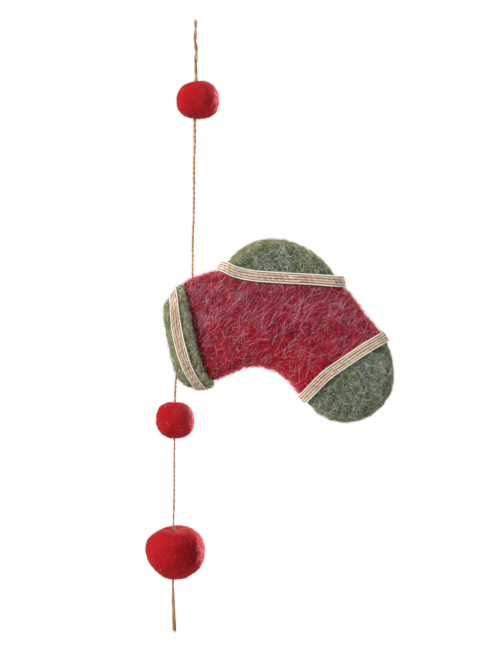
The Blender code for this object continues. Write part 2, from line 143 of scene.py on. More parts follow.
# %% Faces of a grid
def grid_quads(rings, sides, joined=False):
    """Quads between neighbouring rings, round and round; joined also ties the last ring to the first."""
    ring, side = np.meshgrid(np.arange(rings if joined else rings - 1), np.arange(sides), indexing="ij")
    after, beside = (ring + 1) % rings, (side + 1) % sides
    corners = (ring * sides + side, ring * sides + beside, after * sides + beside, after * sides + side)
    return np.stack(corners, axis=-1).reshape(-1, 4)


def padded_quads(rings, sides):
    """Quads of a flat tube, with both ends closed from each front point to the back point behind it."""
    k = np.arange(sides // 2 - 1)
    cap = np.stack([k, k + 1, sides - 2 - k, sides - 1 - k], axis=1)
    return np.concatenate([grid_quads(rings, sides), cap, cap[:, ::-1] + (rings - 1) * sides])


def fan_caps(rings, sides):
    """Fans of triangles that close the first and the last ring of a tube."""
    k = np.arange(1, sides - 1)
    near, far = np.stack([0 * k, k + 1, k], axis=1), np.stack([0 * k, k, k + 1], axis=1)
    return np.concatenate([near, far + (rings - 1) * sides])


# %% A piece from whole arrays
NO_TRIANGLES = np.zeros((0, 3), int)


def add_piece(name, points, quads, finish, tone=None, triangles=NO_TRIANGLES):
    """A closed mesh. Its faces are turned outwards if the volume that they enclose comes out negative.

    tone is one number for each point, or one for all, kept as the attribute that the finish reads.
    """
    points = np.asarray(points, float).reshape(-1, 3)
    halves = np.concatenate([quads[:, (0, 1, 2)], quads[:, (0, 2, 3)], triangles])
    a, b, c = (points[halves[:, k]] for k in range(3))
    if (a * np.cross(b, c)).sum() < 0:
        quads, triangles = quads[:, ::-1], triangles[:, ::-1]
    mesh = bpy.data.meshes.new(name)
    mesh.vertices.add(len(points))
    mesh.vertices.foreach_set("co", (points * MM).astype(np.float32).ravel())
    corners = np.concatenate([quads.ravel(), triangles.ravel()]).astype(np.int32)
    mesh.loops.add(len(corners))
    mesh.loops.foreach_set("vertex_index", corners)
    starts = np.concatenate([4 * np.arange(len(quads)), 4 * len(quads) + 3 * np.arange(len(triangles))])
    mesh.polygons.add(len(starts))
    mesh.polygons.foreach_set("loop_start", starts.astype(np.int32))
    mesh.update(calc_edges=True)
    if tone is not None:
        kept = mesh.attributes.new("tone", "FLOAT", "POINT")
        kept.data.foreach_set("value", np.broadcast_to(tone, (len(points),)).astype(np.float32))
    mesh.shade_smooth()
    mesh.materials.append(finish)
    piece = bpy.data.objects.new(name, mesh)
    bpy.context.scene.collection.objects.link(piece)
    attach(piece, "root")
    print(f"{name}: {2 * len(quads) + len(triangles)} triangles")
    return piece


# %% Tubes and fibres
ASKEW = np.array((0.31, 0.87, 0.38))             # a direction that hardly any fibre has
FIBRE_SIDES = 3
FIBRE_TAPER = 0.65            # how much of its radius a fibre loses by its tip


def tube(centre, radius, sides, side_way=None, squash=1.0, joined=False):
    """Rings round a line: centre + radius (across cos a + squash outwards sin a)."""
    if joined:
        heading = unit(np.roll(centre, -1, axis=0) - np.roll(centre, 1, axis=0))
    else:
        heading = unit(np.gradient(centre, axis=0))
    across = np.array((0.0, 1.0, 0.0)) if side_way is None else side_way
    across = unit(across - (across * heading).sum(axis=1, keepdims=True) * heading)
    outward = np.cross(heading, across)
    angle = 2 * np.pi * np.arange(sides) / sides
    radius = np.broadcast_to(radius, (len(centre),))[:, None, None]
    ring = np.cos(angle)[:, None] * across[:, None] + squash * np.sin(angle)[:, None] * outward[:, None]
    return centre[:, None] + radius * ring


def fibre_mesh(lines, radius, sides=FIBRE_SIDES):
    """Many fibres in one set of arrays: thin tubes, closed at both ends, that taper to about a third."""
    count, steps = lines.shape[:2]
    heading = unit(np.gradient(lines, axis=1))
    across = unit(np.cross(heading, ASKEW))
    outward = np.cross(heading, across)
    angle = 2 * np.pi * np.arange(sides) / sides
    taper = 1 - FIBRE_TAPER * np.linspace(0.0, 1.0, steps) ** 2
    size = (np.broadcast_to(radius, (count,))[:, None] * taper)[..., None, None]
    ring = np.cos(angle)[:, None] * across[..., None, :] + np.sin(angle)[:, None] * outward[..., None, :]
    points = lines[..., None, :] + size * ring
    first = np.arange(count)[:, None, None] * steps * sides
    quads = (first + grid_quads(steps, sides)[None]).reshape(-1, 4)
    caps = (first + fan_caps(steps, sides)[None]).reshape(-1, 3)
    return points.reshape(-1, 3), quads, caps


# %% [markdown]
# ## Colours and shader nodes
# Colours are written as the hex values that a screen shows, and one function turns them to the linear light
# that the renderer works in. One helper adds any node: it sets the node's own settings, then its sockets, and
# a socket given another node's output is linked to it.

# %% Colours and nodes
def linear(hex_colour):
    """sRGB to linear light: a small value over 12.92, and a power of 2.4 of the others."""
    value = np.array([int(hex_colour[k:k + 2], 16) for k in (1, 3, 5)]) / 255
    light = np.where(value <= 0.04045, value / 12.92, ((value + 0.055) / 1.055) ** 2.4)
    return (*light.tolist(), 1.0)


def new_finish(name):
    """A material, with its node tree and its main shader."""
    finish = bpy.data.materials.new(name)
    finish.use_nodes = True
    tree = finish.node_tree
    return finish, tree, tree.nodes["Principled BSDF"]


def add_node(tree, kind, settings=None, **sockets):
    """One node of that kind, with its sockets named by _ for a space, or by _ and a number.

    A socket is given a value, or another node's output to link.
    """
    node = tree.nodes.new("ShaderNode" + kind)
    for key, value in (settings or {}).items():
        setattr(node, key, value)
    for key, value in sockets.items():
        socket = node.inputs[int(key[1:])] if key[0] == "_" else node.inputs[key.replace("_", " ")]
        if isinstance(value, bpy.types.NodeSocket):
            tree.links.new(value, socket)
        else:
            socket.default_value = value
    return node


def add_ramp(tree, share, stops):
    """A colour ramp over share, with stops of (place, hex colour)."""
    ramp = add_node(tree, "ValToRGB", _0=share)
    while len(ramp.color_ramp.elements) < len(stops):
        ramp.color_ramp.elements.new(0.5)
    for stop, (place, colour) in zip(ramp.color_ramp.elements, stops):
        stop.position, stop.color = place, linear(colour)
    return ramp.outputs["Color"]


# %% [markdown]
# ## The jute twine
# The twine is spun from two plies of jute that wind round each other. It is thicker at both cut ends, where
# the twist has opened, and thin above the lowest ball. Each ply is a tube carried along a helix round the
# twine's line: centre + a share of the twine's radius towards the turning angle. A tube suits it better than
# a bevelled curve, because its radius swells and each ply keeps its own shade. It is a limp cord that hangs
# from its top end, with a cut at both ends.

# %% Route and size of the twine
TWINE_ROUTE = (               # x, z of its centre
    (0.0, 0.0), (0.0, -5.6), (-0.25, -10.6), (0.4, -15.5), (0.25, -20.0), (0.1, -26.0), (0.4, -33.0),
    (0.1, -43.0), (-0.4, -54.0), (-0.5, -66.0), (-0.85, -78.0), (-0.85, -90.0), (-0.95, -104.0),
    (-1.35, -114.0), (-1.55, -124.0), (-1.6, -134.0), (-1.8, -142.0), (-2.8, -149.0), (-4.9, -157.0),
    (-7.2, -167.0), (-8.4, -177.0), (-9.0, -184.0), (-9.9, -189.0), (-10.5, -193.0), (-10.9, -197.5),
    (-11.15, -206.0), (-11.2, -216.0), (-11.3, -227.0), (-11.5, -238.0), (-11.5, -250.0), (-11.65, -262.0),
    (-11.95, -270.0), (-12.1, -279.0), (-12.15, -289.0), (-12.2, -302.0), (-12.15, -309.0),
    (-11.9, -316.0), (-11.6, -323.0), (-11.3, -329.1),
)
TWINE_SIZE = (                # depth below the top end, radius over both plies, length of one full twist
    (0.0, 0.88, 14.0), (34.0, 0.93, 11.0), (54.0, 0.82, 6.0), (100.0, 0.65, 5.2), (150.0, 0.55, 5.0),
    (206.0, 0.55, 4.8), (226.0, 0.48, 4.7), (255.0, 0.48, 5.2), (270.0, 0.43, 11.0), (302.0, 0.68, 24.0),
    (312.0, 0.84, 90.0), (323.0, 1.00, 200.0), (329.1, 1.00, 200.0),
)
TWINE_RINGS = 720


def twine_line(count):
    """Centre points of the twine from its top end down."""
    flat = smooth(TWINE_ROUTE, count)
    return np.stack([flat[:, 0], np.zeros(count), flat[:, 1]], axis=1)


def twine_radius(depth):
    """Radius over both plies at that depth."""
    depths, radii, _ = np.array(TWINE_SIZE).T
    return np.interp(depth, depths, radii)


twine_centre = twine_line(TWINE_RINGS)

# %% Finish of spun jute
BLOTCH_MM, BLOTCH_SHARE = 6.0, 0.35              # jute darkens and pales in stretches of about this length
JUTE_RELIEF = 0.15


def jute_finish(name, dark, mid, light, fibre_mm, stripe=0.35):
    """Retted jute bast fibre, spun: dull, straw to brown, with fine streaks and paler loose fibres.

    The tone attribute gives each ply or cord its own shade; noise adds streaks about fibre_mm apart.
    """
    finish, tree, shader = new_finish(name)
    where = add_node(tree, "TexCoord").outputs["Object"]
    tone = add_node(tree, "Attribute", {"attribute_name": "tone"}).outputs["Fac"]
    streak = add_node(tree, "TexNoise", Vector=where, Scale=1 / (fibre_mm * MM), Detail=3.0, Roughness=0.65)
    blotch = add_node(tree, "TexNoise", Vector=where, Scale=1 / (BLOTCH_MM * MM), Detail=2.0)
    mixed = add_node(tree, "Math", {"operation": "MULTIPLY_ADD"}, _0=streak.outputs["Fac"], _1=stripe,
                     _2=tone)
    mixed = add_node(tree, "Math", {"operation": "MULTIPLY_ADD"}, _0=blotch.outputs["Fac"], _1=BLOTCH_SHARE,
                     _2=mixed.outputs[0])
    shade = add_node(tree, "MapRange", _0=mixed.outputs[0], _1=0.25, _2=1.25)
    colour = add_ramp(tree, shade.outputs["Result"], ((0.0, dark), (0.5, mid), (1.0, light)))
    tree.links.new(colour, shader.inputs["Base Color"])
    bump = add_node(tree, "Bump", Height=streak.outputs["Fac"], Strength=0.35, Distance=JUTE_RELIEF * MM)
    tree.links.new(bump.outputs["Normal"], shader.inputs["Normal"])
    shader.inputs["Roughness"].default_value = 0.8
    shader.inputs["Specular IOR Level"].default_value = 0.25
    shader.inputs["Sheen Weight"].default_value = 0.15
    shader.inputs["Sheen Roughness"].default_value = 0.5
    return finish


spun_jute = jute_finish("spun_jute_twine", "#4a2e18", "#7c573a", "#a9815a", 0.35)
print("finish", spun_jute.name)

# %% Spin the two plies
PLY_SIDES = 9
PLY_OFFSET, PLY_RADIUS = 0.38, 0.65              # of the twine's radius
PLY_SWELL = 0.10              # how unevenly a ply is spun
RIDGES, RIDGE_HIGH, RIDGE_TURN = 3, 0.07, 1.5    # on each ply; they wind round it half as fast as it turns
PLY_TONE, PLY_CONTRAST, PLY_MOTTLE = 0.38, 0.24, 0.14                  # one ply is the paler by the contrast
TWINE_WEAR = (                # depth, and how much paler the jute is there
    (0.0, 34.0, 54.0, 200.0, 255.0, 300.0),
    (-0.05, -0.05, 0.1, 0.1, 0.0, -0.16),
)


def spin_twine(centre):
    """Two plies, half a turn apart, each a tube round centre + offset * radius * (cos turn, sin turn)."""
    depth = -centre[:, 2]
    radius = twine_radius(depth)
    depths, _, twists = np.array(TWINE_SIZE).T
    step = np.linalg.norm(np.diff(centre, axis=0), axis=1)
    per_mm = 1 / np.interp(depth, depths, twists)
    turn = 2 * np.pi * np.concatenate([[0.0], np.cumsum(step * (per_mm[1:] + per_mm[:-1]) / 2)])
    turn -= turn[-1]                             # the plies lie side by side at the lower cut end
    side = 2 * np.pi * np.arange(PLY_SIDES) / PLY_SIDES
    ridge = RIDGE_HIGH * np.sin(RIDGES * side[None] - RIDGE_TURN * turn[:, None])
    wear = np.interp(depth, *TWINE_WEAR)
    points, quads, caps, tones = [], [], [], []
    for ply in (0, 1):
        angle = turn + np.pi * ply
        away = np.stack([np.cos(angle), np.sin(angle), 0 * angle], axis=1)
        uneven = 1 + PLY_SWELL * waves(centre + 40.0 * ply, 3.0, 5 + ply)
        rings = tube(centre + PLY_OFFSET * radius[:, None] * away, PLY_RADIUS * radius * uneven, PLY_SIDES)
        core = rings.mean(axis=1, keepdims=True)
        first = ply * TWINE_RINGS * PLY_SIDES
        points.append((core + (rings - core) * (1 + ridge[..., None])).reshape(-1, 3))
        quads.append(grid_quads(TWINE_RINGS, PLY_SIDES) + first)
        caps.append(fan_caps(TWINE_RINGS, PLY_SIDES) + first)
        tone = PLY_TONE + PLY_CONTRAST * ply + wear + PLY_MOTTLE * waves(centre, 9.0, 8 + ply)
        tones.append(np.repeat(tone, PLY_SIDES))
    points, quads, caps, tones = (np.concatenate(parts) for parts in (points, quads, caps, tones))
    return add_piece("twine_plies", points, quads, spun_jute, tones, caps)


twine = spin_twine(twine_centre)
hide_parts("twine")

# %% [markdown]
# ## The felt
# Wool felt is carded fleece that was wetted and rubbed until its fibres locked. It has no weave: it is a
# thick dull mat, mottled where the dyed fleece was uneven, with fibres lying on it in every direction and a
# short pile that blurs its edge. Three things make it here: a padded form, a finish with mottling and fine
# curled lines, and loose fibres, each a thin tube, laid over the form, so that its outline is soft from every
# side.

# %% Finish of wool felt
SLANT = math.radians(50)      # the way in which the red fleece was laid, up to the right
STREAK = (6.0, 2.0, 0.7)      # a streak's length, depth and width
CLUMP_MM, CLUMP_SHARE = 1.5, 0.8                 # clumps of fleece within the broad mottling
CURLS = ((2.2, 0.03, 3.1), (1.1, 0.045, 7.7))    # spacing in mm, half width in the noise's value, shift
CURL_HIGH = 0.5               # a curled line's height, over the mottling's


def felt_finish(name, deep, mid, bright, haze, haze_share, rim, sheen, sheen_colour, mottle_mm=7.0,
                combed=0.0, uneven=1.0, relief_mm=0.28):
    """Wool felt: rough, without gloss, and with a little sheen where the pile is seen edge on.

    Noise mottles the dye from deep to bright, and combed adds streaks along the slant of the fleece; uneven
    is how much of that range it takes in. A fibre is drawn wherever a twisted noise passes through its middle
    value, which gives thin curled lines; two sets of them, 1 and 2 mm apart, have the paler haze colour.
    Mottling and lines also raise the surface, and relief_mm scales that. The tone attribute paints light and
    shade: towards 1 it blends to the rim colour, painted rim light where backlit felt glows at a cut
    edge, and towards -1 to the deep colour, painted shade in a fold.
    """
    finish, tree, shader = new_finish(name)
    where = add_node(tree, "TexCoord").outputs["Object"]
    broad = add_node(tree, "TexNoise", Vector=where, Scale=1 / (mottle_mm * MM), Detail=3.0, Roughness=0.6)
    clumps = add_node(tree, "TexNoise", Vector=where, Scale=1 / (CLUMP_MM * MM), Detail=4.0, Roughness=0.7,
                      Distortion=0.8)
    laid = add_node(tree, "Mapping", {"vector_type": "TEXTURE"}, Vector=where, Rotation=(0.0, -SLANT, 0.0),
                    Scale=tuple(size * MM for size in STREAK))
    streaks = add_node(tree, "TexNoise", Vector=laid.outputs[0], Scale=1.0, Detail=3.0, Roughness=0.6,
                       Distortion=0.4)
    mixed = add_node(tree, "Math", {"operation": "MULTIPLY_ADD"}, _0=clumps.outputs["Fac"], _1=CLUMP_SHARE,
                     _2=broad.outputs["Fac"])
    mixed = add_node(tree, "Math", {"operation": "MULTIPLY_ADD"}, _0=streaks.outputs["Fac"], _1=combed,
                     _2=mixed.outputs[0])
    least, most = 0.65 + 0.45 * combed, 1.15 + 0.55 * combed           # the usual range of the mixture
    share = add_node(tree, "MapRange", _0=mixed.outputs[0], _1=least, _2=most, _3=0.5 - 0.5 * uneven,
                     _4=0.5 + 0.5 * uneven).outputs["Result"]
    base = add_ramp(tree, share, ((0.0, deep), (0.5, mid), (1.0, bright)))
    height = share
    for spacing, thin, shift in CURLS:
        moved = add_node(tree, "Mapping", Vector=where, Location=(shift, -shift, shift))
        curl = add_node(tree, "TexNoise", Vector=moved.outputs[0], Scale=1 / (spacing * MM), Detail=2.0,
                        Roughness=0.45, Distortion=1.6)
        off = add_node(tree, "Math", {"operation": "SUBTRACT"}, _0=curl.outputs["Fac"], _1=0.5)
        off = add_node(tree, "Math", {"operation": "ABSOLUTE"}, _0=off.outputs[0])
        line = add_node(tree, "MapRange", _0=off.outputs[0], _1=thin, _2=0.0).outputs["Result"]
        weight = add_node(tree, "Math", {"operation": "MULTIPLY"}, _0=line, _1=haze_share)
        blend = add_node(tree, "Mix", {"data_type": "RGBA"}, _0=weight.outputs[0], _6=base, _7=linear(haze))
        base = blend.outputs[2]
        height = add_node(tree, "Math", {"operation": "MULTIPLY_ADD"}, _0=line, _1=CURL_HIGH,
                          _2=height).outputs[0]
    # painted rim light towards the rim colour where tone is above 0, painted shade towards deep below 0
    tone = add_node(tree, "Attribute", {"attribute_name": "tone"}).outputs["Fac"]
    base = add_node(tree, "Mix", {"data_type": "RGBA"}, _0=tone, _6=base, _7=linear(rim)).outputs[2]
    fold = add_node(tree, "Math", {"operation": "MULTIPLY"}, _0=tone, _1=-1.0)
    base = add_node(tree, "Mix", {"data_type": "RGBA"}, _0=fold.outputs[0], _6=base,
                    _7=linear(deep)).outputs[2]
    tree.links.new(base, shader.inputs["Base Color"])
    bump = add_node(tree, "Bump", Height=height, Strength=1.0, Distance=relief_mm * MM)
    tree.links.new(bump.outputs["Normal"], shader.inputs["Normal"])
    shader.inputs["Roughness"].default_value = 0.95
    shader.inputs["Specular IOR Level"].default_value = 0.05
    shader.inputs["Sheen Weight"].default_value = sheen
    shader.inputs["Sheen Roughness"].default_value = 0.45
    shader.inputs["Sheen Tint"].default_value = linear(sheen_colour)
    return finish


def fibre_finish(name, stops):
    """Loose wool fibres: each has its own tone, from the dyed fleece to the undyed pale hairs in it."""
    finish, tree, shader = new_finish(name)
    tone = add_node(tree, "Attribute", {"attribute_name": "tone"}).outputs["Fac"]
    tree.links.new(add_ramp(tree, tone, stops), shader.inputs["Base Color"])
    shader.inputs["Roughness"].default_value = 0.6
    shader.inputs["Specular IOR Level"].default_value = 0.2
    shader.inputs["Sheen Weight"].default_value = 0.1
    shader.inputs["Sheen Roughness"].default_value = 0.4
    return finish


# %% The colours of the wool
red_felt = felt_finish("red_wool_felt", deep="#4e0911", mid="#880d19", bright="#a0141e", haze="#98394c",
                       haze_share=0.06, rim="#d0364a", sheen=0.04, sheen_colour="#ffb0ba", combed=0.7)
green_felt = felt_finish("green_wool_felt", deep="#1e240c", mid="#3c4421", bright="#586030", haze="#8f9684",
                         haze_share=0.20, rim="#7e7c3a", sheen=0.05, sheen_colour="#d8dcb0")
cuff_green = felt_finish("olive_wool_felt", deep="#272b12", mid="#4b502c", bright="#676b42", haze="#a8a684",
                         haze_share=0.40, rim="#72744c", sheen=0.08, sheen_colour="#e6e6c0")
# on the balls the rim colour is the painted rim light of their right side
ball_felt = felt_finish("ball_wool_felt", deep="#52060a", mid="#800b10", bright="#8e0d13", haze="#98202a",
                        haze_share=0.06, rim="#e4586a", sheen=0.06, sheen_colour="#ff8a96", mottle_mm=9.0,
                        uneven=0.3, relief_mm=0.08)
red_wool = fibre_finish("red_wool_fibre", ((0.0, "#34050e"), (0.25, "#720f20"), (0.5, "#9e243c"),
                                           (0.75, "#c67c96"), (1.0, "#ecd8e6")))
# the edge pile is brighter red than the felt: painted glow of light through the wool
glowing_pile_wool = fibre_finish("red_wool_pile_painted_glow", ((0.0, "#8e1020"), (0.6, "#be2238"), (1.0, "#e06a80")))
green_wool = fibre_finish("green_wool_fibre", ((0.0, "#161a08"), (0.3, "#42482a"), (0.5, "#7d8472"),
                                               (0.75, "#bfc5c2"), (1.0, "#eef2f2")))
olive_wool = fibre_finish("olive_wool_fibre", ((0.0, "#2c3014"), (0.4, "#6a6c3a"), (0.75, "#a8a47a"),
                                               (1.0, "#e2dccb")))
ball_wool = fibre_finish("ball_wool_fibre", ((0.0, "#6c080e"), (0.5, "#9a131c"), (0.75, "#cc4c5a"),
                                             (1.0, "#f4bcc2")))
print("felt", red_felt.name, green_felt.name, cuff_green.name, ball_felt.name)
print("loose wool", red_wool.name, glowing_pile_wool.name, green_wool.name, olive_wool.name, ball_wool.name)

# %% Places on a form
def slopes(grid):
    """Steps of a grid along its rings and round its sides, and its outward direction, their cross product."""
    along = np.gradient(grid, axis=0)
    around = (np.roll(grid, -1, axis=1) - np.roll(grid, 1, axis=1)) / 2
    outward = unit(np.cross(along, around))
    inside = grid - grid.mean(axis=1, keepdims=True)
    return along, around, outward if (outward * inside).sum() > 0 else -outward


def sample(field, place):
    """The field at broken grid places: its four neighbours, each weighted by nearness."""
    rings, sides = field.shape[:2]
    ring, side = np.clip(place[:, 0], 0, rings - 1.001), place[:, 1] % sides
    i, j = ring.astype(int), side.astype(int)
    down, over, beside = (ring - i)[:, None], (side - j)[:, None], (j + 1) % sides
    near = (1 - over) * field[i, j] + over * field[i, beside]
    far = (1 - over) * field[i + 1, j] + over * field[i + 1, beside]
    return (1 - down) * near + down * far


def scatter(grid, count, chance, wanted=None):
    """Random grid places: each cell is picked in proportion to its area, times what wanted gives there."""
    along, around, _ = slopes(grid)
    area = np.linalg.norm(np.cross(along, around), axis=-1)[:-1]
    if wanted is not None:
        area = area * wanted(grid[:-1])
    share = np.cumsum(area.ravel())
    pick = np.searchsorted(share, chance.uniform(0, share[-1], count))
    cell = np.stack(np.divmod(pick, grid.shape[1]), axis=1)
    return cell + chance.uniform(0, 1, (count, 2))


# %% Fibres that creep over a form
def creep(grid, roots, heading, length, turn, lift):
    """Middle lines of fibres: each creeps over the grid from its root in equal steps.

    At every step its heading is laid flat on the form and turned by turn (one angle for each step), the point
    is lifted off the form, and the step is solved for how far it goes along the rings and round the sides.
    """
    along, around, outward = slopes(grid)
    steps = turn.shape[1]
    place, lines = roots.copy(), []
    for k in range(steps):
        up, ring_way, side_way = (sample(field, place) for field in (outward, along, around))
        up = unit(up)
        heading = unit(heading - (heading * up).sum(axis=1, keepdims=True) * up)
        bend = turn[:, k, None]
        heading = np.cos(bend) * heading + np.sin(bend) * np.cross(up, heading)
        lines.append(sample(grid, place) + lift[:, k, None] * up)
        move = heading * (length / (steps - 1))[:, None]
        rr, rs, ss = ((a * b).sum(axis=1) for a, b in
                      ((ring_way, ring_way), (ring_way, side_way), (side_way, side_way)))
        mr, ms = (move * ring_way).sum(axis=1), (move * side_way).sum(axis=1)
        det = np.maximum(rr * ss - rs * rs, 1e-6)
        place = place + np.stack([mr * ss - ms * rs, ms * rr - mr * rs], axis=1) / det[:, None]
    return np.stack(lines, axis=1)


# %% A family of loose fibres
SWAY = 1.3                    # how much a fibre's wave turns it, over its steady curl


def add_fibres(name, grid, count, seed, finish, slot, length, radius, curl, lift, tones, steps, lean=None,
               wanted=None, stand=False, pale=1.3):
    """One family of loose fibres on a form, as one mesh.

    length, radius, lift and tones are (least, most); curl is about how far a fibre turns over its length, in
    radians. A lying fibre rises in its middle, and a standing one to its tip. lean gives the fibres' common
    heading, as an angle above +X, with a spread. wanted says how thickly they lie at each place. The higher
    pale is, the fewer fibres come near the greatest tone.
    """
    chance = np.random.default_rng(seed)
    roots = scatter(grid, count, chance, wanted)
    angle = chance.uniform(0, 2 * np.pi, count)
    if lean is not None:
        angle = lean[0] + chance.normal(0, lean[1], count) + np.pi * chance.integers(0, 2, count)
    heading = np.stack([np.cos(angle), 0.02 * np.sin(3 * angle), np.sin(angle)], axis=1)
    reach = chance.uniform(*length, count)
    share = np.linspace(0, 1, steps)[None]
    steady = chance.normal(0, curl / steps, (count, 1))
    sway = chance.normal(0, SWAY * curl / steps, (count, 1)) * np.sin(
        chance.uniform(2, 6, (count, 1)) * share + chance.uniform(0, 6.3, (count, 1)))
    height = chance.uniform(*lift, count)[:, None]
    rise = share
    if not stand:
        rise = 0.15 + np.sin(np.pi * (0.12 + 0.8 * share)) * chance.uniform(0.4, 1, (count, 1))
    lines = creep(grid, roots, heading, reach, steady + sway, height * rise)
    points, quads, caps = fibre_mesh(lines, chance.uniform(*radius, count))
    tone = tones[0] + (tones[1] - tones[0]) * chance.uniform(0, 1, count) ** pale
    return add_piece(name, points, quads, finish, np.repeat(tone, steps * FIBRE_SIDES), caps)


def stray_lines(roots, heading, reach, bend, chance, steps=6):
    """Middle lines of fibres that leave a cord: each heading swings further off at every step."""
    swing = chance.normal(0, bend, (len(roots), 1, 3)) * np.linspace(0, 1, steps)[None, :, None]
    step = unit(heading[:, None] + swing) * (reach / (steps - 1))[:, None, None]
    run = np.cumsum(step, axis=1) - step[:, :1]
    return roots[:, None] + run


# %% [markdown]
# ## The stocking's padded felt
# The stocking was cut from thick felt and padded: a red leg and foot with a green heel and toe let in under
# the ribbons, and a green cuff at its top. It hangs on its side, with the twine run through the leg's top and
# the cuff. The outline is a ring of named places. The half thickness at any place depends on its distance to
# that outline: a quarter round at the edge, then a slow rise. A flat Coons grid fills each piece between its
# four edges, and is pushed forward and back by that half thickness.

# %% Outline of the stocking
LEG_BACK = ((0.6, -138.8), (6.0, -136.9), (11.6, -135.6), (16.4, -133.2))
HEEL_SEAM = ((16.2, -133.0), (22.0, -135.7), (31.0, -137.6), (46.5, -138.8), (62.0, -139.6), (76.8, -140.7))
HEEL_EDGE = (
    (17.2, -130.6), (20.9, -126.9), (26.5, -122.2), (34.0, -119.0), (43.5, -117.9), (53.5, -119.9),
    (63.5, -125.3), (70.6, -131.9), (75.4, -138.6),
)
SOLE_EDGE = ((76.9, -140.9), (81.6, -146.6), (88.7, -155.2), (94.5, -162.9), (101.4, -170.8))
TOE_SEAM = ((101.4, -171.0), (94.0, -175.2), (86.3, -180.2), (78.5, -185.5), (69.6, -192.0), (58.9, -202.9))
TOE_EDGE = (
    (102.7, -172.9), (105.4, -180.8), (106.6, -191.0), (104.6, -201.0), (98.6, -209.4), (89.5, -214.9),
    (79.5, -216.2), (68.6, -213.0), (60.0, -205.1),
)
INSTEP = ((58.7, -203.0), (53.3, -196.6), (47.5, -190.8), (40.0, -187.0), (32.0, -185.8), (23.0, -187.8))
OPENING = ((-2.0, -199.0), (-16.0, -190.0), (-18.0, -155.0))      # hidden in the cuff
SEAM_MIDDLE = np.array((-1.0, -168.5))           # of the cuff's seam, with its two directions and its ends
SEAM_ALONG = np.array((0.217, -0.976))
SEAM_OUT = np.array((-0.976, -0.217))
SEAM_TOP, SEAM_FOOT = -26.9, 27.1
LIP_START, LIP_BEND = 14.0, 0.022                # near its foot the seam bends towards the instep
LEG_TUCK = 4.0                # how far inside the seam's foot the outline passes
EDGE_POINTS = 60              # on each stretch of the outline


def cuff_place(out, along):
    """x, z of a place given out of the stocking's top and along the cuff's seam."""
    return SEAM_MIDDLE + np.multiply.outer(out, SEAM_OUT) + np.multiply.outer(along, SEAM_ALONG)


def seam_lift(along):
    """How far out of the top the seam lies: 0, and -bend * (along - start)^2 past the start."""
    return -LIP_BEND * np.clip(along - LIP_START, 0.0, None) ** 2


def stocking_outline():
    """The closed outline: the outer edges, smoothed, and the opening that the cuff hides."""
    edges = [smooth(line, EDGE_POINTS) for line in (LEG_BACK, HEEL_EDGE, SOLE_EDGE, TOE_EDGE, INSTEP)]
    seam_ends = [cuff_place(0.0, SEAM_FOOT) - LEG_TUCK * SEAM_OUT, cuff_place(0.0, SEAM_TOP)]
    outline = np.vstack([*edges, seam_ends[:1], np.array(OPENING), seam_ends[1:]])
    return np.vstack([outline, outline[:1]])


OUTLINE = stocking_outline()
print("outline", np.round(np.ptp(OUTLINE, axis=0), 1), "mm wide and high, with what the cuff hides")

# %% Thickness from the distance to the outline
FELT_HALF = 4.8               # half thickness inside the rounded edge
FELT_CROWN, CROWN_REACH = 0.9, 13.0              # and how much it still rises further in
EDGE_ROUND = 5.5              # how far in from the outline the edge is rounded
RIM_HALF = 0.35               # half thickness at the outline itself
FOOT_MIDDLE = (60.0, -165.0)


def edge_distance(place):
    """Distance to the nearest stretch of the outline, and whether the place is inside it.

    It is inside if a line to the right crosses the outline an odd number of times.
    """
    flat = place.reshape(-1, 1, 2)
    start, end = OUTLINE[:-1], OUTLINE[1:]
    run = end - start
    share = ((flat - start) * run).sum(axis=-1) / np.maximum((run**2).sum(axis=-1), 1e-9)
    nearest = start + np.clip(share, 0.0, 1.0)[..., None] * run
    distance = np.linalg.norm(flat - nearest, axis=-1).min(axis=1)
    x, z = flat[..., 0], flat[..., 1]
    crosses = (start[:, 1] > z) != (end[:, 1] > z)
    rise = np.where(np.abs(run[:, 1]) < 1e-9, 1e-9, run[:, 1])
    inside = (crosses & (x < start[:, 0] + (z - start[:, 1]) / rise * run[:, 0])).sum(axis=1) % 2 == 1
    return distance.reshape(place.shape[:-1]), inside.reshape(place.shape[:-1])


def felt_half(place):
    """half = felt * sqrt(1 - (1 - distance / round)^2) + crown * (1 - exp(-distance / reach))."""
    distance, inside = edge_distance(place)
    shoulder = np.sqrt(1 - (1 - np.clip(distance / EDGE_ROUND, 0.0, 1.0)) ** 2)
    half = FELT_HALF * shoulder + FELT_CROWN * (1 - np.exp(-distance / CROWN_REACH))
    return np.where(inside, np.maximum(half, RIM_HALF), RIM_HALF), inside


foot_half, _ = felt_half(np.array([FOOT_MIDDLE]))
print("felt", round(2 * float(foot_half[0]), 1), "mm thick in the middle of the foot")

# %% Grids between four edges
def crowded(count, crowd=0.65):
    """Shares from 0 to 1, closer together near both ends, where the felt rounds off."""
    share = np.linspace(0.0, 1.0, count)
    return (1 - crowd) * share + crowd * (0.5 - 0.5 * np.cos(np.pi * share))


def between(start, end, count):
    """Crowded places on the straight line from start to end."""
    return start + crowded(count)[:, None] * (end - start)


def coons(lower, upper, left, right):
    """Each place: the blend of the two edges across, plus that of the two along, less that of the corners."""
    u = np.linspace(0.0, 1.0, len(lower))[:, None, None]
    v = crowded(len(left))[None, :, None]
    across = (1 - v) * lower[:, None] + v * upper[:, None]
    along = (1 - u) * left[None] + u * right[None]
    corners = (1 - u) * ((1 - v) * lower[0] + v * upper[0]) + u * ((1 - v) * lower[-1] + v * upper[-1])
    return across + along - corners


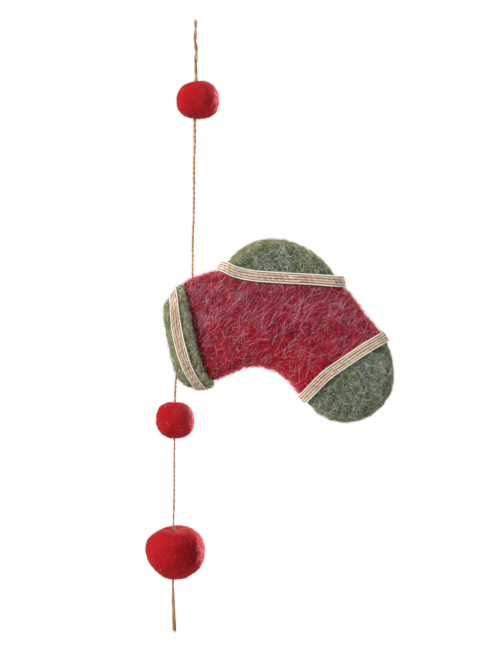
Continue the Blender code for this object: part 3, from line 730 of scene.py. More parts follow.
def pad_rings(flat):
    """Rings of a padded piece: its front from one edge to the other, then its back the other way."""
    half, _ = felt_half(flat)
    front = np.stack([flat[..., 0], -half, flat[..., 1]], axis=-1)
    back = np.stack([flat[..., 0], half, flat[..., 1]], axis=-1)[:, ::-1]
    return np.concatenate([front, back], axis=1)


def painted_rim_light(rings, reach):
    """Painted rim light: 1 at the cut edge, and exp(-distance / reach) further in."""
    distance, _ = edge_distance(rings[..., (0, 2)])
    return np.exp(-distance / reach)


def felt_relief(rings, seed, broad=0.22, fine=0.10):
    """Felt is never level: soft hollows 9 mm apart, clumps of fleece of 3 mm, and half as high of 1.3 mm."""
    _, _, outward = slopes(rings)
    height = broad * waves(rings, 9.0, seed) + fine * waves(rings, 3.0, seed + 1)
    height += 0.5 * fine * waves(rings, 1.3, seed + 2)
    return rings + height[..., None] * outward


def add_padded(name, node, rings, finish, tone=None):
    """A piece of padded felt from its rings, which stands for its solid."""
    piece = add_piece(name, rings, padded_quads(*rings.shape[:2]), finish, tone)
    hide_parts(node)


# %% The red leg and foot
BODY_COLUMNS, BODY_ROWS = 172, 72
SEAM_GAP = 0.4                # between the felt pieces, under their ribbons
CUFF_TOUCH = 0.05             # the leg comes up to the cuff
FOLD_DEEP, FOLD_REACH = 0.32, 2.2                # of the half thickness; how far from the cuff
FOLD_FROM, FOLD_PAINTED_SHADE = 0.02, -0.8                # weakest fold given painted shade; tone at its deepest
BODY_RIM, BODY_RIM_REACH = 0.9, 0.9              # painted rim light at the cut edge, and how far in it fades


def cuff_distance(rings):
    """How far a place is from the cuff's seam, on the leg's side."""
    away = rings[..., (0, 2)] - SEAM_MIDDLE
    return np.maximum(seam_lift(away @ SEAM_ALONG) - away @ SEAM_OUT, 0.0)


def body_rings():
    """The body's rings: its upper edge runs by the leg's back, heel and sole, and its lower by the instep."""
    along = between(np.array([SEAM_FOOT]), np.array([SEAM_TOP]), BODY_ROWS)[:, 0]
    left = cuff_place(seam_lift(along) - CUFF_TOUCH, along)
    leg = smooth([left[-1], *LEG_BACK], 40)
    heel = shifted(smooth(HEEL_SEAM, 90), -SEAM_GAP / 2)
    sole = smooth(SOLE_EDGE, 50)
    upper = evenly(np.vstack([leg[:-1], heel, sole[1:]]), BODY_COLUMNS)
    toe = shifted(smooth(TOE_SEAM, BODY_ROWS), -SEAM_GAP / 2)
    upper[-1] = toe[0]
    lower = smooth([left[0], *INSTEP[::-1][:-1], toe[-1]], BODY_COLUMNS)
    right = between(lower[-1], upper[-1], BODY_ROWS)
    right[:, 1] = np.interp(right[:, 0], toe[::-1, 0], toe[::-1, 1])
    return pad_rings(coons(lower, upper, left, right))


flat_body = body_rings()
fold = np.exp(-(cuff_distance(flat_body) / FOLD_REACH) ** 2)
# painted shade in the fold by the cuff; painted rim light at the cut edge elsewhere
body_rim_light_and_shade = np.where(fold > FOLD_FROM, FOLD_PAINTED_SHADE * fold, BODY_RIM * painted_rim_light(flat_body, BODY_RIM_REACH))
flat_body[..., 1] *= 1 - FOLD_DEEP * fold        # the leg is drawn in where it meets the cuff
body_grid = felt_relief(flat_body, 11)
add_padded("stocking_felt", "stocking_body", body_grid, red_felt, body_rim_light_and_shade.ravel())

# %% The green heel and toe
PATCH_COLUMNS, PATCH_ROWS = 110, 40
PATCH_RIM = 0.85              # tone of the painted rim light at the cut edge


def patch_rings(seam, edge):
    """The rings of a heel or toe, between its seam and its outer edge."""
    lower = shifted(smooth(seam, PATCH_COLUMNS), SEAM_GAP / 2)
    upper = smooth(edge, PATCH_COLUMNS)
    return pad_rings(coons(lower, upper, between(lower[0], upper[0], PATCH_ROWS),
                           between(lower[-1], upper[-1], PATCH_ROWS)))


def add_patch(name, node, seam, edge, seed, rim_reach):
    """A heel or toe; its painted rim light fades over rim_reach."""
    flat_rings = patch_rings(seam, edge)
    rings = felt_relief(flat_rings, seed)
    tone = PATCH_RIM * painted_rim_light(flat_rings, rim_reach)
    add_padded(name, node, rings, green_felt, tone.ravel())
    return rings


heel_grid = add_patch("heel_felt", "heel", HEEL_SEAM, HEEL_EDGE, 21, 2.8)
toe_grid = add_patch("toe_felt", "toe", TOE_SEAM, TOE_EDGE, 31, 1.0)

# %% [markdown]
# ## The cuff
# The cuff is a green felt band round the stocking's top, thicker than the leg and closed at its outer end. It
# is a rounded-rectangle section, |s|^3 + |y / half|^3 = 1, carried outwards from the seam with its ends and
# half thickness read from a short table. Near its foot it bends towards the instep with the seam.

# %% The green cuff
CUFF_RINGS = (                # out, start along, end along, half thickness
    (0.0, -25.2, 28.2, 6.6), (0.9, -26.6, 29.8, 7.8), (2.8, -25.7, 30.4, 8.4), (5.2, -23.4, 29.7, 8.5),
    (8.3, -21.2, 28.0, 8.0), (10.8, -19.6, 26.2, 6.9), (12.6, -16.6, 23.8, 5.3), (13.8, -11.5, 20.6, 3.3),
    (14.4, -4.0, 16.0, 0.9), (14.55, 1.0, 11.0, 0.15),
)
CUFF_SQUARE = 3.0             # the power in the section's formula
CUFF_SPAN, CUFF_TURN = 0.9995, 0.015             # the front stops this little short of the section's ends
CUFF_STRAIGHT = 9.0           # by this far out, the seam's bend has gone
CUFF_COUNT, CUFF_STEPS = 80, 44


def cuff_ring(row, count):
    """One section, as out, along and y: the front from top to bottom, then the back."""
    out, start, end, half = row
    angle = np.linspace(1 - CUFF_TURN, CUFF_TURN, count) * np.pi
    share = CUFF_SPAN * np.cos(angle) / np.cos(CUFF_TURN * np.pi)
    along = 0.5 * (start + end) + 0.5 * (end - start) * share
    y = half * (1 - np.abs(share) ** CUFF_SQUARE) ** (1 / CUFF_SQUARE)
    outs = out + seam_lift(along) * np.clip(1 - out / CUFF_STRAIGHT, 0.0, 1.0)
    front, back = np.stack([outs, along, -y], axis=1), np.stack([outs, along, y], axis=1)[::-1]
    return np.vstack([front, back])


def cuff_row(out):
    """The table's row at any distance out."""
    table = np.array(CUFF_RINGS)
    return (out, *(np.interp(out, table[:, 0], table[:, k]) for k in (1, 2, 3)))


def cuff_points(local):
    """x, y, z of places given as out, along and y."""
    place = SEAM_MIDDLE + local[..., :1] * SEAM_OUT + local[..., 1:2] * SEAM_ALONG
    return np.stack([place[..., 0], local[..., 2], place[..., 1]], axis=-1)


cuff_rings = np.stack([cuff_ring(row, CUFF_COUNT) for row in smooth(CUFF_RINGS, CUFF_STEPS)])
cuff_grid = felt_relief(cuff_points(cuff_rings), 41, broad=0.15, fine=0.08)
add_padded("cuff_felt", "cuff", cuff_grid, cuff_green)

# %% [markdown]
# ## The felted balls
# Each ball is a wad of red fleece felted in the hand, so it is nearly round with soft lumps, and the twine
# runs through a bore. Its surface is centre + half sizes * direction / (sum of |direction|^n)^(1/n), and each
# lump adds its height times exp(narrowness * (cosine of the angle to it - 1)). The bore's rings close the
# form.

# %% Form of the three red balls
BALLS = (                     # name, x, y, z of centre, half width, half height, squareness, dip, dip tilt
    ("ball_top", 1.2, 0.0, -42.4, 11.3, 10.4, 2.2, 0.5, 0.0),
    ("ball_middle", -11.1, 0.0, -215.4, 10.1, 10.0, 2.15, 0.5, 0.0),
    ("ball_bottom", -11.1, 2.0, -286.8, 15.6, 15.0, 2.06, 3.0, 0.30),
)
DIP_NARROW = 16.0             # of the dip round the bore's upper mouth
BALL_LUMPS = (                # ball, direction x, y, z, height, narrowness
    ("ball_top", -0.75, -0.2, -0.60, 0.5, 9.0),
    ("ball_top", 0.72, -0.2, -0.66, 0.7, 9.0),
    ("ball_top", -0.50, 0.0, 0.86, -0.7, 9.0),
    ("ball_middle", 0.72, -0.2, -0.68, 0.5, 9.0),
    ("ball_middle", -0.72, -0.2, 0.68, 0.5, 9.0),
    ("ball_bottom", 0.86, -0.1, 0.50, 0.6, 8.0),
    ("ball_bottom", 0.86, -0.1, -0.50, 0.6, 8.0),
    ("ball_bottom", -0.88, -0.1, 0.46, 0.5, 8.0),
    ("ball_bottom", -0.52, 0.0, 0.85, -1.1, 8.0),
    ("ball_bottom", 0.62, -0.80, 0.02, -0.9, 14.0),
    ("ball_bottom", -0.93, -0.1, 0.36, 0.5, 24.0),
    ("ball_bottom", -0.74, -0.1, -0.66, -1.0, 10.0),
    ("ball_bottom", 0.72, -0.1, -0.70, -0.5, 10.0),
)
BALL_ROWS, BALL_SIDES = 64, 100
POLE_GAP = 0.03               # share of the half turn from pole to pole that the bore's mouth takes
BORE_ROWS = 5
BORE_PLAY = 0.15              # round the twine
BORE_FOOT, BORE_TOP = 0.4, 0.1                   # how far inside the ball's two mouths the bore's wall starts
BALL_TURN = (2 * np.pi * np.arange(BALL_SIDES) / BALL_SIDES)[None]


def ball_surface(row, seed):
    """Rings of one ball from its upper mouth down, with its lumps, the mouth's dip and a fine unevenness."""
    name, x, y, z, half_width, half_height, square, dip, tilt = row
    polar = np.linspace(POLE_GAP, 1 - POLE_GAP, BALL_ROWS)[:, None] * np.pi
    direction = np.stack([np.sin(polar) * np.cos(BALL_TURN), np.sin(polar) * np.sin(BALL_TURN),
                          np.cos(polar) + 0 * BALL_TURN], axis=-1)
    reach = (np.abs(direction) ** square).sum(axis=-1) ** (-1 / square)
    points = direction * reach[..., None] * np.array((half_width, half_width, half_height))
    for ball, *towards, height, narrow in BALL_LUMPS:
        if ball == name:
            lump = height * np.exp(narrow * (direction @ unit(np.array(towards)) - 1))
            points += direction * lump[..., None]
    mouth = np.array((0.0, -np.sin(tilt), np.cos(tilt)))
    points[..., 2] -= dip * np.exp(DIP_NARROW * (direction @ mouth - 1))
    rough = 0.09 * waves(points, 6.0, seed) + 0.03 * waves(points, 2.2, seed + 1)
    return points + (direction * rough[..., None] + (x, y, z))


def ball_bore(outer):
    """Rings of the bore from its foot up, round the twine's own line: centre + radius (cos a, sin a)."""
    line = twine_line(800)
    height = np.linspace(outer[-1, :, 2].mean() + BORE_FOOT, outer[0, :, 2].min() - BORE_TOP, BORE_ROWS)
    centre = np.interp(-height, -line[:, 2], line[:, 0])
    radius = twine_radius(-height) + BORE_PLAY
    x = centre[:, None] + radius[:, None] * np.cos(BALL_TURN)
    y = radius[:, None] * np.sin(BALL_TURN)
    return np.stack([x, y, np.repeat(height[:, None], BALL_SIDES, axis=1)], axis=-1)


# %% Painted rim light and shade on the balls
RIM_LIGHT_FROM, RIM_LIGHT_TO = 0.58, 1.00                  # painted rim light: where it starts and is full, in half widths
RIM_LIGHT_MOST, RIM_LIGHT_POWER = 0.9, 2.4                 # how bright the painted rim light gets, and how late
RIM_LIGHT_TILT = 0.10              # it starts a little sooner higher up
RIM_GLOW, RIM_GLOW_FROM = 0.06, 0.3                    # a faint painted glow, from a little left of the middle
CREASE, CREASE_NARROW = unit(np.array((0.66, -0.75, -0.05))), 9.0      # the bottom ball's crease, which gets painted shade
CREASE_BELOW = 0.2            # the painted crease shade stays off the painted rim light
BORE_PAINTED_SHADE = -0.8            # painted shade in the bores


def ball_rim_light_and_shade(row, outer, number):
    """Painted rim light on the right: glow * (aside + from) + most * ((aside - from) / (to - from))^power.

    Painted shade in the bottom ball's crease is taken off.
    """
    name, x, y, z, half_width, half_height, *_ = row
    aside = (outer[..., 0] - x) / half_width + RIM_LIGHT_TILT * (outer[..., 2] - z) / half_height
    aside += 0.06 * waves(outer, 4.0, 70 + number) + 0.04 * waves(outer, 1.6, 80 + number)
    # painted rim light: a faint glow growing to the right, then the rim colour near the right edge
    tone = RIM_GLOW * np.clip(aside + RIM_GLOW_FROM, 0, 1)
    tone = tone + RIM_LIGHT_MOST * np.clip((aside - RIM_LIGHT_FROM) / (RIM_LIGHT_TO - RIM_LIGHT_FROM), 0, 1) ** RIM_LIGHT_POWER
    if name == "ball_bottom":
        # painted shade in the crease, in patches
        facing = unit(outer - np.array((x, y, z))) @ CREASE
        crease_shade_patches = np.clip(0.55 + 0.45 * waves(outer, 2.6, 75), 0, 1)
        tone -= crease_shade_patches * np.exp(CREASE_NARROW * (facing - 1)) * (tone < CREASE_BELOW)
    return tone


# %% The three red balls
ball_grids = {}
for number, row in enumerate(BALLS):
    outer = ball_surface(row, 50 + 10 * number)
    bore = ball_bore(outer)
    # painted rim light and crease shade outside, painted shade in the bore
    tone = np.concatenate([ball_rim_light_and_shade(row, outer, number).ravel(), np.full(bore.size // 3, BORE_PAINTED_SHADE)])
    ball = add_piece(row[0] + "_felt", np.concatenate([outer, bore]),
                     grid_quads(BALL_ROWS + BORE_ROWS, BALL_SIDES, joined=True), ball_felt, tone)
    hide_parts(row[0])
    ball_grids[row[0]] = outer

# %% [markdown]
# ## Loose wool on the felt
# Long undyed hairs lie over the red fleece, most of them slanting up to the right, with shorter curled ones
# between and a fine pile that stands at the edges. Every fibre is a three-sided tube of a tenth of a
# millimetre or so; a thinner one would vanish at this distance. They are families of one rule, so each family
# is one mesh made in a single pass over its arrays.

# %% Where wool lies thickest
STIFF_PILE = {"curl": 0.8, "steps": 2, "stand": True}                  # short fibres that stand on end
LEG_FOOT, LEG_RISE = -188.0, 40.0                # z of the leg's lower edge; from it up, hair thickens
BARE_REACH, BARE_BELOW = 2.0, -166.0             # the bare part of the fold: from the cuff, and under this z


def mostly_front(grid):
    """The back has half as many fibres as the front."""
    return np.where(grid[..., 1] < 0, 1.0, 0.5)


def upper_leg(grid):
    """0 at the leg's lower edge, and 1 in its upper half."""
    return np.clip((grid[..., 2] - LEG_FOOT) / LEG_RISE, 0, 1)


def inner(grid):
    """Undyed hair thins out towards the edge, where only the dyed pile stands."""
    return mostly_front(grid) * np.clip((np.abs(grid[..., 1]) - 0.5) / 3.5, 0.15, 1.0)


def patchy(grid):
    """Undyed hair lies thicker in some patches, about 13 mm apart, than in others."""
    return inner(grid) * (0.6 + 0.4 * upper_leg(grid)) * np.clip(0.7 + 0.4 * waves(grid, 13.0, 91), 0.2, 1.4)


def mostly_rim(grid):
    """At the edge the half thickness is still small; the pile stands there in tufts, about 4 mm apart."""
    half = np.abs(grid[..., 1])
    near_edge = np.where(half < 2.6, 1.0, np.where(half < 4.4, 0.25, 0.05))
    return near_edge * np.clip(0.6 + 0.8 * waves(grid, 4.0, 92), 0.06, 1.6)


def by_cuff(grid):
    """Loose wool gathers by the cuff and over the leg's upper half, but not in the lower part of the fold."""
    upper, away = upper_leg(grid), cuff_distance(grid)
    folded = (away < BARE_REACH) & (grid[..., 2] < BARE_BELOW)
    return inner(grid) * (0.35 + 0.5 * np.exp(-away / 7.0) * upper + 0.5 * upper) * (1 - 0.95 * folded)


# %% Fibres of the red leg and foot
add_fibres("stocking_long_hairs", body_grid, 1200, 101, red_wool, "red_felt", length=(5, 12),
           radius=(0.025, 0.042), curl=0.5, lift=(0.25, 0.8), tones=(0.5, 1.0), steps=5,
           lean=(SLANT, math.radians(20)), wanted=by_cuff)
add_fibres("stocking_curls", body_grid, 6600, 102, red_wool, "red_felt", length=(3, 8),
           radius=(0.024, 0.039), curl=0.5, lift=(0.15, 0.6), tones=(0.0, 1.08), steps=4,
           lean=(SLANT, math.radians(30)), wanted=by_cuff, pale=2.5)
add_fibres("stocking_crossing_curls", body_grid, 2600, 104, red_wool, "red_felt", length=(2, 6),
           radius=(0.024, 0.038), curl=1.6, lift=(0.15, 0.6), tones=(0.1, 1.0), steps=5,
           wanted=patchy, pale=2.1)
# the edge pile carries the painted glow of backlit wool
add_fibres("stocking_pile", body_grid, 8000, 103, glowing_pile_wool, "red_felt", length=(1.2, 2.8),
           radius=(0.045, 0.08), lift=(0.5, 2.1), tones=(0.0, 1.0), wanted=mostly_rim, pale=1.0, **STIFF_PILE)

# %% Fibres of the green heel, toe and cuff
LIP_WIDE = 4.6                # the cuff's inner edge, out from its seam
LIP_LEAN = (math.radians(-25), math.radians(38))                       # the curls' heading, and its spread
TOE_HAIRY, TOE_FADE = 84.0, 40.0                 # x of the toe's middle, and how gently the hair thins out


def mostly_lip(grid):
    """The cuff is furriest along its inner edge."""
    out = (grid[..., (0, 2)] - SEAM_MIDDLE) @ SEAM_OUT
    return np.where(out < LIP_WIDE, 1.0, 0.10)


def toe_side(grid):
    """Undyed hair is thinner on the toe's left, where the olive fleece shows."""
    return mostly_front(grid) * np.clip(0.75 + (grid[..., 0] - TOE_HAIRY) / TOE_FADE, 0.65, 1.0)


PATCHES = (                   # name, grid, how many times the heel's fibres, seed, where the curls lie
    ("heel", heel_grid, 1.0, 111, inner),
    ("toe", toe_grid, 1.4, 121, toe_side),
)
for name, grid, many, seed, spread in PATCHES:
    add_fibres(name + "_curls", grid, int(2900 * many), seed, green_wool, "green_felt", length=(2.5, 7),
               radius=(0.024, 0.038), curl=2.8, lift=(0.15, 0.6), tones=(0.0, 1.12), steps=5, wanted=spread,
               pale=1.2)
    add_fibres(name + "_pile", grid, int(2000 * many), seed + 1, olive_wool, "green_felt", length=(0.7, 1.9),
               radius=(0.05, 0.08), lift=(0.3, 1.2), tones=(0.2, 0.8), wanted=mostly_rim, pale=1.0,
               **STIFF_PILE)
add_fibres("cuff_curls", cuff_grid, 2800, 131, olive_wool, "green_felt", length=(1.5, 4),
           radius=(0.045, 0.068), curl=1.2, lift=(0.2, 1.3), tones=(0.0, 1.15), steps=4, lean=LIP_LEAN,
           wanted=mostly_lip, pale=0.9)
add_fibres("cuff_pile", cuff_grid, 4200, 132, olive_wool, "green_felt", length=(0.8, 2.4),
           radius=(0.045, 0.08), lift=(0.3, 1.0), tones=(0.0, 1.0), wanted=mostly_lip, **STIFF_PILE)

# %% Fibres of the balls
RIGHT_SIDE = 0.36             # of the whole width, from the middle
SMOOTH_SHARE = 0.008          # how many of the pale hairs the smooth felt has against that side


def pale_hairs_at_rim_light(grid):
    """Pale hairs gather at the right side, as part of the balls' painted rim light.

    Hardly any lie elsewhere, where the balls are smooth.
    """
    aside = (grid[..., 0] - grid[..., 0].mean()) / np.ptp(grid[..., 0])
    return np.where(aside > RIGHT_SIDE, 1.0, SMOOTH_SHARE)


for number, (name, grid) in enumerate(ball_grids.items()):
    many = 2.0 if name == "ball_bottom" else 1.0
    # the curls' pale tones on the right side add to the painted rim light
    add_fibres(name + "_curls", grid, int(170 * many), 141 + number, ball_wool, "ball_felt", length=(1.5, 4),
               radius=(0.03, 0.05), curl=2.6, lift=(0.1, 0.5), tones=(0.5, 1.1), steps=6, wanted=pale_hairs_at_rim_light)
    add_fibres(name + "_pile", grid, int(920 * many), 151 + number, ball_wool, "ball_felt", length=(0.9, 2.2),
               radius=(0.028, 0.046), curl=1.8, lift=(0.15, 0.75), tones=(0.42, 0.62), steps=3, stand=True)

# %% [markdown]
# ## Loose jute
# Jute bast is stiff and hairy. Short fibres leave the twine all along it, both cut ends are a little frayed,
# a pale tuft sits where the twine leaves the top ball, and at the bottom ball's mouth a tuft and one loose
# strand lie over the crown to the right.

# %% Fibres that leave the twine
TWINE_STRAYS, STRAY_REACH = 260, (0.8, 2.8)
END_STRAYS, END_REACH, END_SPREAD = 16, (0.6, 1.8), 0.35
TUFT_STRAYS, TUFT_REACH, TUFT_SPREAD = 22, (1.2, 4.5), 0.5
TUFTS = (                     # place, lean and least tone: under the top ball, and at the bottom ball's mouth
    ((1.3, -0.9, -52.6), (0.6, -0.5, -0.2), 0.75),
    ((-11.4, -1.6, -274.6), (0.8, -0.3, 0.5), 0.45),
)
STRAY_RADIUS = 0.05


def twine_strays(seed):
    """Lines and tones: along the twine, at its two ends, and at the two tufts."""
    chance = np.random.default_rng(seed)
    root = chance.integers(5, TWINE_RINGS - 5, TWINE_STRAYS)
    way = unit(np.gradient(twine_centre, axis=0))[root] * np.sign(chance.normal(size=(TWINE_STRAYS, 1)))
    away = unit(chance.normal(size=(TWINE_STRAYS, 3)) * (1, 1, 0.1))
    radius = twine_radius(-twine_centre[root, 2])[:, None]
    lines = [stray_lines(twine_centre[root] + 0.8 * radius * away, way + 0.45 * away,
                         chance.uniform(*STRAY_REACH, TWINE_STRAYS), 0.4, chance)]
    tones = [chance.uniform(0.1, 1.0, TWINE_STRAYS)]
    for end, up in ((0, 1.0), (-1, -1.0)):
        start = twine_centre[end] + chance.normal(0, END_SPREAD, (END_STRAYS, 3)) * (1, 1, 0.3)
        way = chance.normal(0, END_SPREAD, (END_STRAYS, 3)) + (0, 0, up)
        lines.append(stray_lines(start, way, chance.uniform(*END_REACH, END_STRAYS), 0.4, chance))
        tones.append(chance.uniform(0.2, 0.9, END_STRAYS))
    for tuft, lean, pale in TUFTS:
        start = np.array(tuft) + chance.normal(0, TUFT_SPREAD, (TUFT_STRAYS, 3))
        way = chance.normal(0, 0.6, (TUFT_STRAYS, 3)) + lean
        lines.append(stray_lines(start, way, chance.uniform(*TUFT_REACH, TUFT_STRAYS), 0.8, chance))
        tones.append(chance.uniform(pale, 1.0, TUFT_STRAYS))
    return np.concatenate(lines), np.concatenate(tones)


def add_strays(name, lines, tones, radius, finish, slot):
    """Loose jute fibres as one mesh."""
    points, quads, caps = fibre_mesh(lines, radius)
    return add_piece(name, points, quads, finish, np.repeat(tones, len(points) // len(lines)), caps)


add_strays("twine_strays", *twine_strays(161), STRAY_RADIUS, spun_jute, "jute_twine")

# %% The loose strand on the bottom ball
STRAND_ROOT = np.array((-10.6, -2.2, -275.0))    # it starts on the ball where that is nearest to this place
STRAND_WAY = (1.0, -0.05, -0.1)
STRAND_LENGTH, STRAND_RADIUS, STRAND_LIFT, STRAND_STEPS = 15.0, 0.17, 0.2, 30
STRAND_DRIFT, STRAND_WAVE = -0.02, 0.09          # its turn at each step: steady, and to and fro
crown = ball_grids["ball_bottom"]
root_gap = np.linalg.norm(crown - STRAND_ROOT, axis=-1)
strand_root = np.array([np.unravel_index(root_gap.argmin(), root_gap.shape)], float)
strand_turn = STRAND_DRIFT + STRAND_WAVE * np.sin(np.linspace(0, 9, STRAND_STEPS))[None]
strand = creep(crown, strand_root, np.array([STRAND_WAY]), np.array([STRAND_LENGTH]), strand_turn,
               STRAND_LIFT + 0 * strand_turn)
points, quads, caps = fibre_mesh(strand, STRAND_RADIUS, sides=6)
add_piece("ball_bottom_strand", points, quads, spun_jute, 1.0, caps)

# %% [markdown]
# ## The jute ribbons
# A flat jute ribbon is a few loosely spun tan cords side by side, bound by a thin weft, with a tightly
# twisted cream cord along each edge. Three of them are tied round the felt. Each ribbon's line is a closed
# loop over the front and back of the felt, and every cord is a tube carried along that loop at its own place
# across the width. A weft thread runs to and fro over a dark backing, which shows in the gaps as short
# dashes: its dark colour is painted shade between the cords.

# %% The line of the heel's and the toe's ribbon
RIBBON_WIDTH = 6.2
RIBBON_REST, REST_COUNT = 0.55, 9                # of the width to each side, where the felt is measured
RUN_COUNT = 90                # places on the front run, and on the back one
LEAD_STEPS, LEAD_STEP = 24, 0.12                 # each run is led on straight past its ends
FRONT_LEADS = 3.0             # how much the front's heading counts there against the back's
END_TURN = 0.25               # share of a run over which it turns into that heading
END_PROUD, TIP_HALF = 6, 1.0                     # steps past the felt's edge, and the loop's half thickness
HEEL_BACK = ((16.2, -133.0), (22.5, -130.9), (32.0, -132.6), (46.5, -136.0), (62.0, -138.8), (76.8, -140.7))
TOE_BACK = ((101.4, -171.0), (90.5, -178.4), (80.0, -186.0), (69.8, -194.0), (58.9, -202.9))
HEEL_SLANT, TOE_SLANT = (0.5, -0.28), (0.0, 0.10)    # of the ribbon's width, at its first and its last end


def felt_wrap(front, back, slant):
    """A closed line along the front seam and back by the other, on the thickest felt under the ribbon."""
    runs = [smooth(route, RUN_COUNT) for route in (front, back)]
    headings = [unit(np.gradient(run, axis=0)) for run in runs]
    start, end = (unit(FRONT_LEADS * headings[0][k] + headings[1][k]) for k in (0, -1))
    lead = np.arange(LEAD_STEPS, 0, -1)[:, None] * LEAD_STEP
    sides = []
    for flat, heading, face in zip(runs, headings, (-1, 1)):
        flat = np.vstack([flat[0] - lead * start, flat, flat[-1] + lead[::-1] * end])
        heading = np.vstack([np.tile(start, (LEAD_STEPS, 1)), heading, np.tile(end, (LEAD_STEPS, 1))])
        share = np.linspace(0.0, 1.0, len(flat))[:, None]
        near_start, near_end = np.clip(1 - share / END_TURN, 0, 1), np.clip(1 - (1 - share) / END_TURN, 0, 1)
        heading = unit(heading * (1 - near_start) * (1 - near_end) + start * near_start + end * near_end)
        lean = slant[0] * near_start + slant[1] * near_end
        across = np.stack([-heading[:, 1], heading[:, 0]], axis=1) + lean * heading
        reach = np.linspace(-RIBBON_REST, RIBBON_REST, REST_COUNT)[:, None, None] * RIBBON_WIDTH
        half, inside = felt_half(flat[None] + reach * across[None])
        keep = np.convolve(inside.any(axis=0), np.ones(2 * END_PROUD + 1), "same") > 0.5
        y = face * np.maximum(half.max(axis=0), TIP_HALF)[keep]
        flat, across = flat[keep], across[keep]
        line = np.stack([flat[:, 0], y, flat[:, 1]], axis=1)
        width = np.stack([across[:, 0], 0 * y, across[:, 1]], axis=1)
        sides.append((line, width) if face < 0 else (line[::-1], width[::-1]))
    return [np.vstack(pair) for pair in zip(*sides)]


# %% The line of the cuff's ribbon
CUFF_RIBBON_OUT, CUFF_RIBBON_BOW = 8.2, 3.6      # where its middle lies, and how far its ends lie further in
CUFF_MIDDLE, CUFF_HALF_SPAN = 2.2, 27.0          # along the cuff
CUFF_RIBBON_REACH, CUFF_RIBBON_COUNT = 2.6, 60   # how far to each side its slope is taken; places on a face


def cuff_wrap():
    """The closed line round the cuff's middle, bowed outwards between its two ends."""
    along = cuff_ring(cuff_row(CUFF_RIBBON_OUT), CUFF_RIBBON_COUNT)[:, 1]
    out = CUFF_RIBBON_OUT - CUFF_RIBBON_BOW * ((along - CUFF_MIDDLE) / CUFF_HALF_SPAN) ** 2
    line, inner_edge, outer_edge = (
        cuff_points(np.stack([cuff_ring(cuff_row(value + shift), CUFF_RIBBON_COUNT)[k]
                              for k, value in enumerate(out)]))
        for shift in (0.0, -CUFF_RIBBON_REACH, CUFF_RIBBON_REACH))
    return line, unit(inner_edge - outer_edge)


# %% Finishes of the ribbon's cords
# The cream cords are cotton: as dull and streaked as spun jute, but paler and more even.
ribbon_jute = jute_finish("loose_jute_cord", "#4a392c", "#937a66", "#c5b09b", 0.30, stripe=0.5)
cream_cotton = jute_finish("cream_cotton_cord", "#9b968e", "#bfbab2", "#d2cdc6", 0.25, stripe=0.25)
# the backing is dark as painted shade in the gaps between the cords
gap_shade_backing = jute_finish("jute_backing_painted_gap_shade", "#3e2f22", "#64503c", "#86705c", 0.4, stripe=0.4)
print("finishes", ribbon_jute.name, cream_cotton.name, gap_shade_backing.name)

# %% The course of a ribbon over the felt
RIBBON_RINGS = 340
RIBBON_CLEAR = 0.55           # of the ribbon's underside above the felt
STEADY_RINGS, STEADY_PASSES = 240, 2             # the loop's unevenness is averaged away on fewer rings


def outwards(loop, across):
    """Away from the felt: across the loop's heading and its width."""
    return unit(np.cross(np.roll(loop, -1, axis=0) - np.roll(loop, 1, axis=0), across))


def ribbon_course(line, width):
    """Centre, across and outward at even steps round the loop, the centre lifted clear of the felt."""
    joined = np.hstack([line, width])
    steady = evenly(np.vstack([joined, joined[:1]]), STEADY_RINGS + 1)[:-1]
    steady[:, :3] += RIBBON_CLEAR * outwards(steady[:, :3], steady[:, 3:])
    for _ in range(STEADY_PASSES):
        steady = (np.roll(steady, 1, axis=0) + 2 * steady + np.roll(steady, -1, axis=0)) / 4
    steady = evenly(np.vstack([steady, steady[:1]]), RIBBON_RINGS + 1)[:-1]
    centre, across = steady[:, :3], unit(steady[:, 3:])
    return centre, across, outwards(centre, across)


# %% Tan cords and cream edge cords
CORD_PLACES, CORD_HEIGHT = (-1.42, 0.02, 1.45), 0.56                   # across, and above the underside
CORD_RADIUS, CORD_APART, CORD_SQUASH, CORD_TWIST = 0.42, 0.22, 0.62, 3.2
EDGE_PLACE, EDGE_HEIGHT = 2.66, 0.5
EDGE_RADIUS, EDGE_APART, EDGE_TWIST = 0.25, 0.17, 1.7
CORD_SIDES = 5


def cord_ply(course, place, height, radius, turns, phase, squash, apart):
    """A ply of a cord: centre + place across + height outwards + apart * (cos, sin) of its turning angle."""
    centre, across, outward = course
    angle = 2 * np.pi * turns * np.arange(len(centre)) / len(centre) + phase
    line = centre + (place + apart * np.cos(angle))[:, None] * across
    line = line + (height + squash * apart * np.sin(angle))[:, None] * outward
    return tube(line, radius, CORD_SIDES, side_way=across, squash=squash, joined=True)


def tan_cords(course, length, seed, worn):
    """Rings and tones of three soft cords, uneven in place, thickness and shade."""
    centre = course[0]
    turns = round(length / CORD_TWIST)
    for place in CORD_PLACES:
        cord_seed = seed + int(10 * place)
        for ply in (0, 1):
            uneven = 1 + 0.12 * waves(centre, 5.0, cord_seed + ply)
            wander = place + 0.13 * waves(centre, 9.0, cord_seed)
            tone = 0.42 + 0.16 * ply - worn + 0.12 * waves(centre, 8.0, seed + 3 + ply)
            tone += 0.08 * waves(centre, 2.0, cord_seed + 5 + ply)
            yield cord_ply(course, wander, CORD_HEIGHT, CORD_RADIUS * uneven, turns, np.pi * ply + place,
                           CORD_SQUASH, CORD_APART), tone


def cream_edges(course, length, seed):
    """Rings and tones of the tightly twisted cord along each edge."""
    centre = course[0]
    turns = round(length / EDGE_TWIST)
    for place in (-EDGE_PLACE, EDGE_PLACE):
        for ply in (0, 1):
            tone = 0.40 + 0.2 * ply + 0.15 * waves(centre, 5.0, seed + 7 + ply)
            yield cord_ply(course, place, EDGE_HEIGHT, EDGE_RADIUS, turns, np.pi * ply, 1.0, EDGE_APART), tone


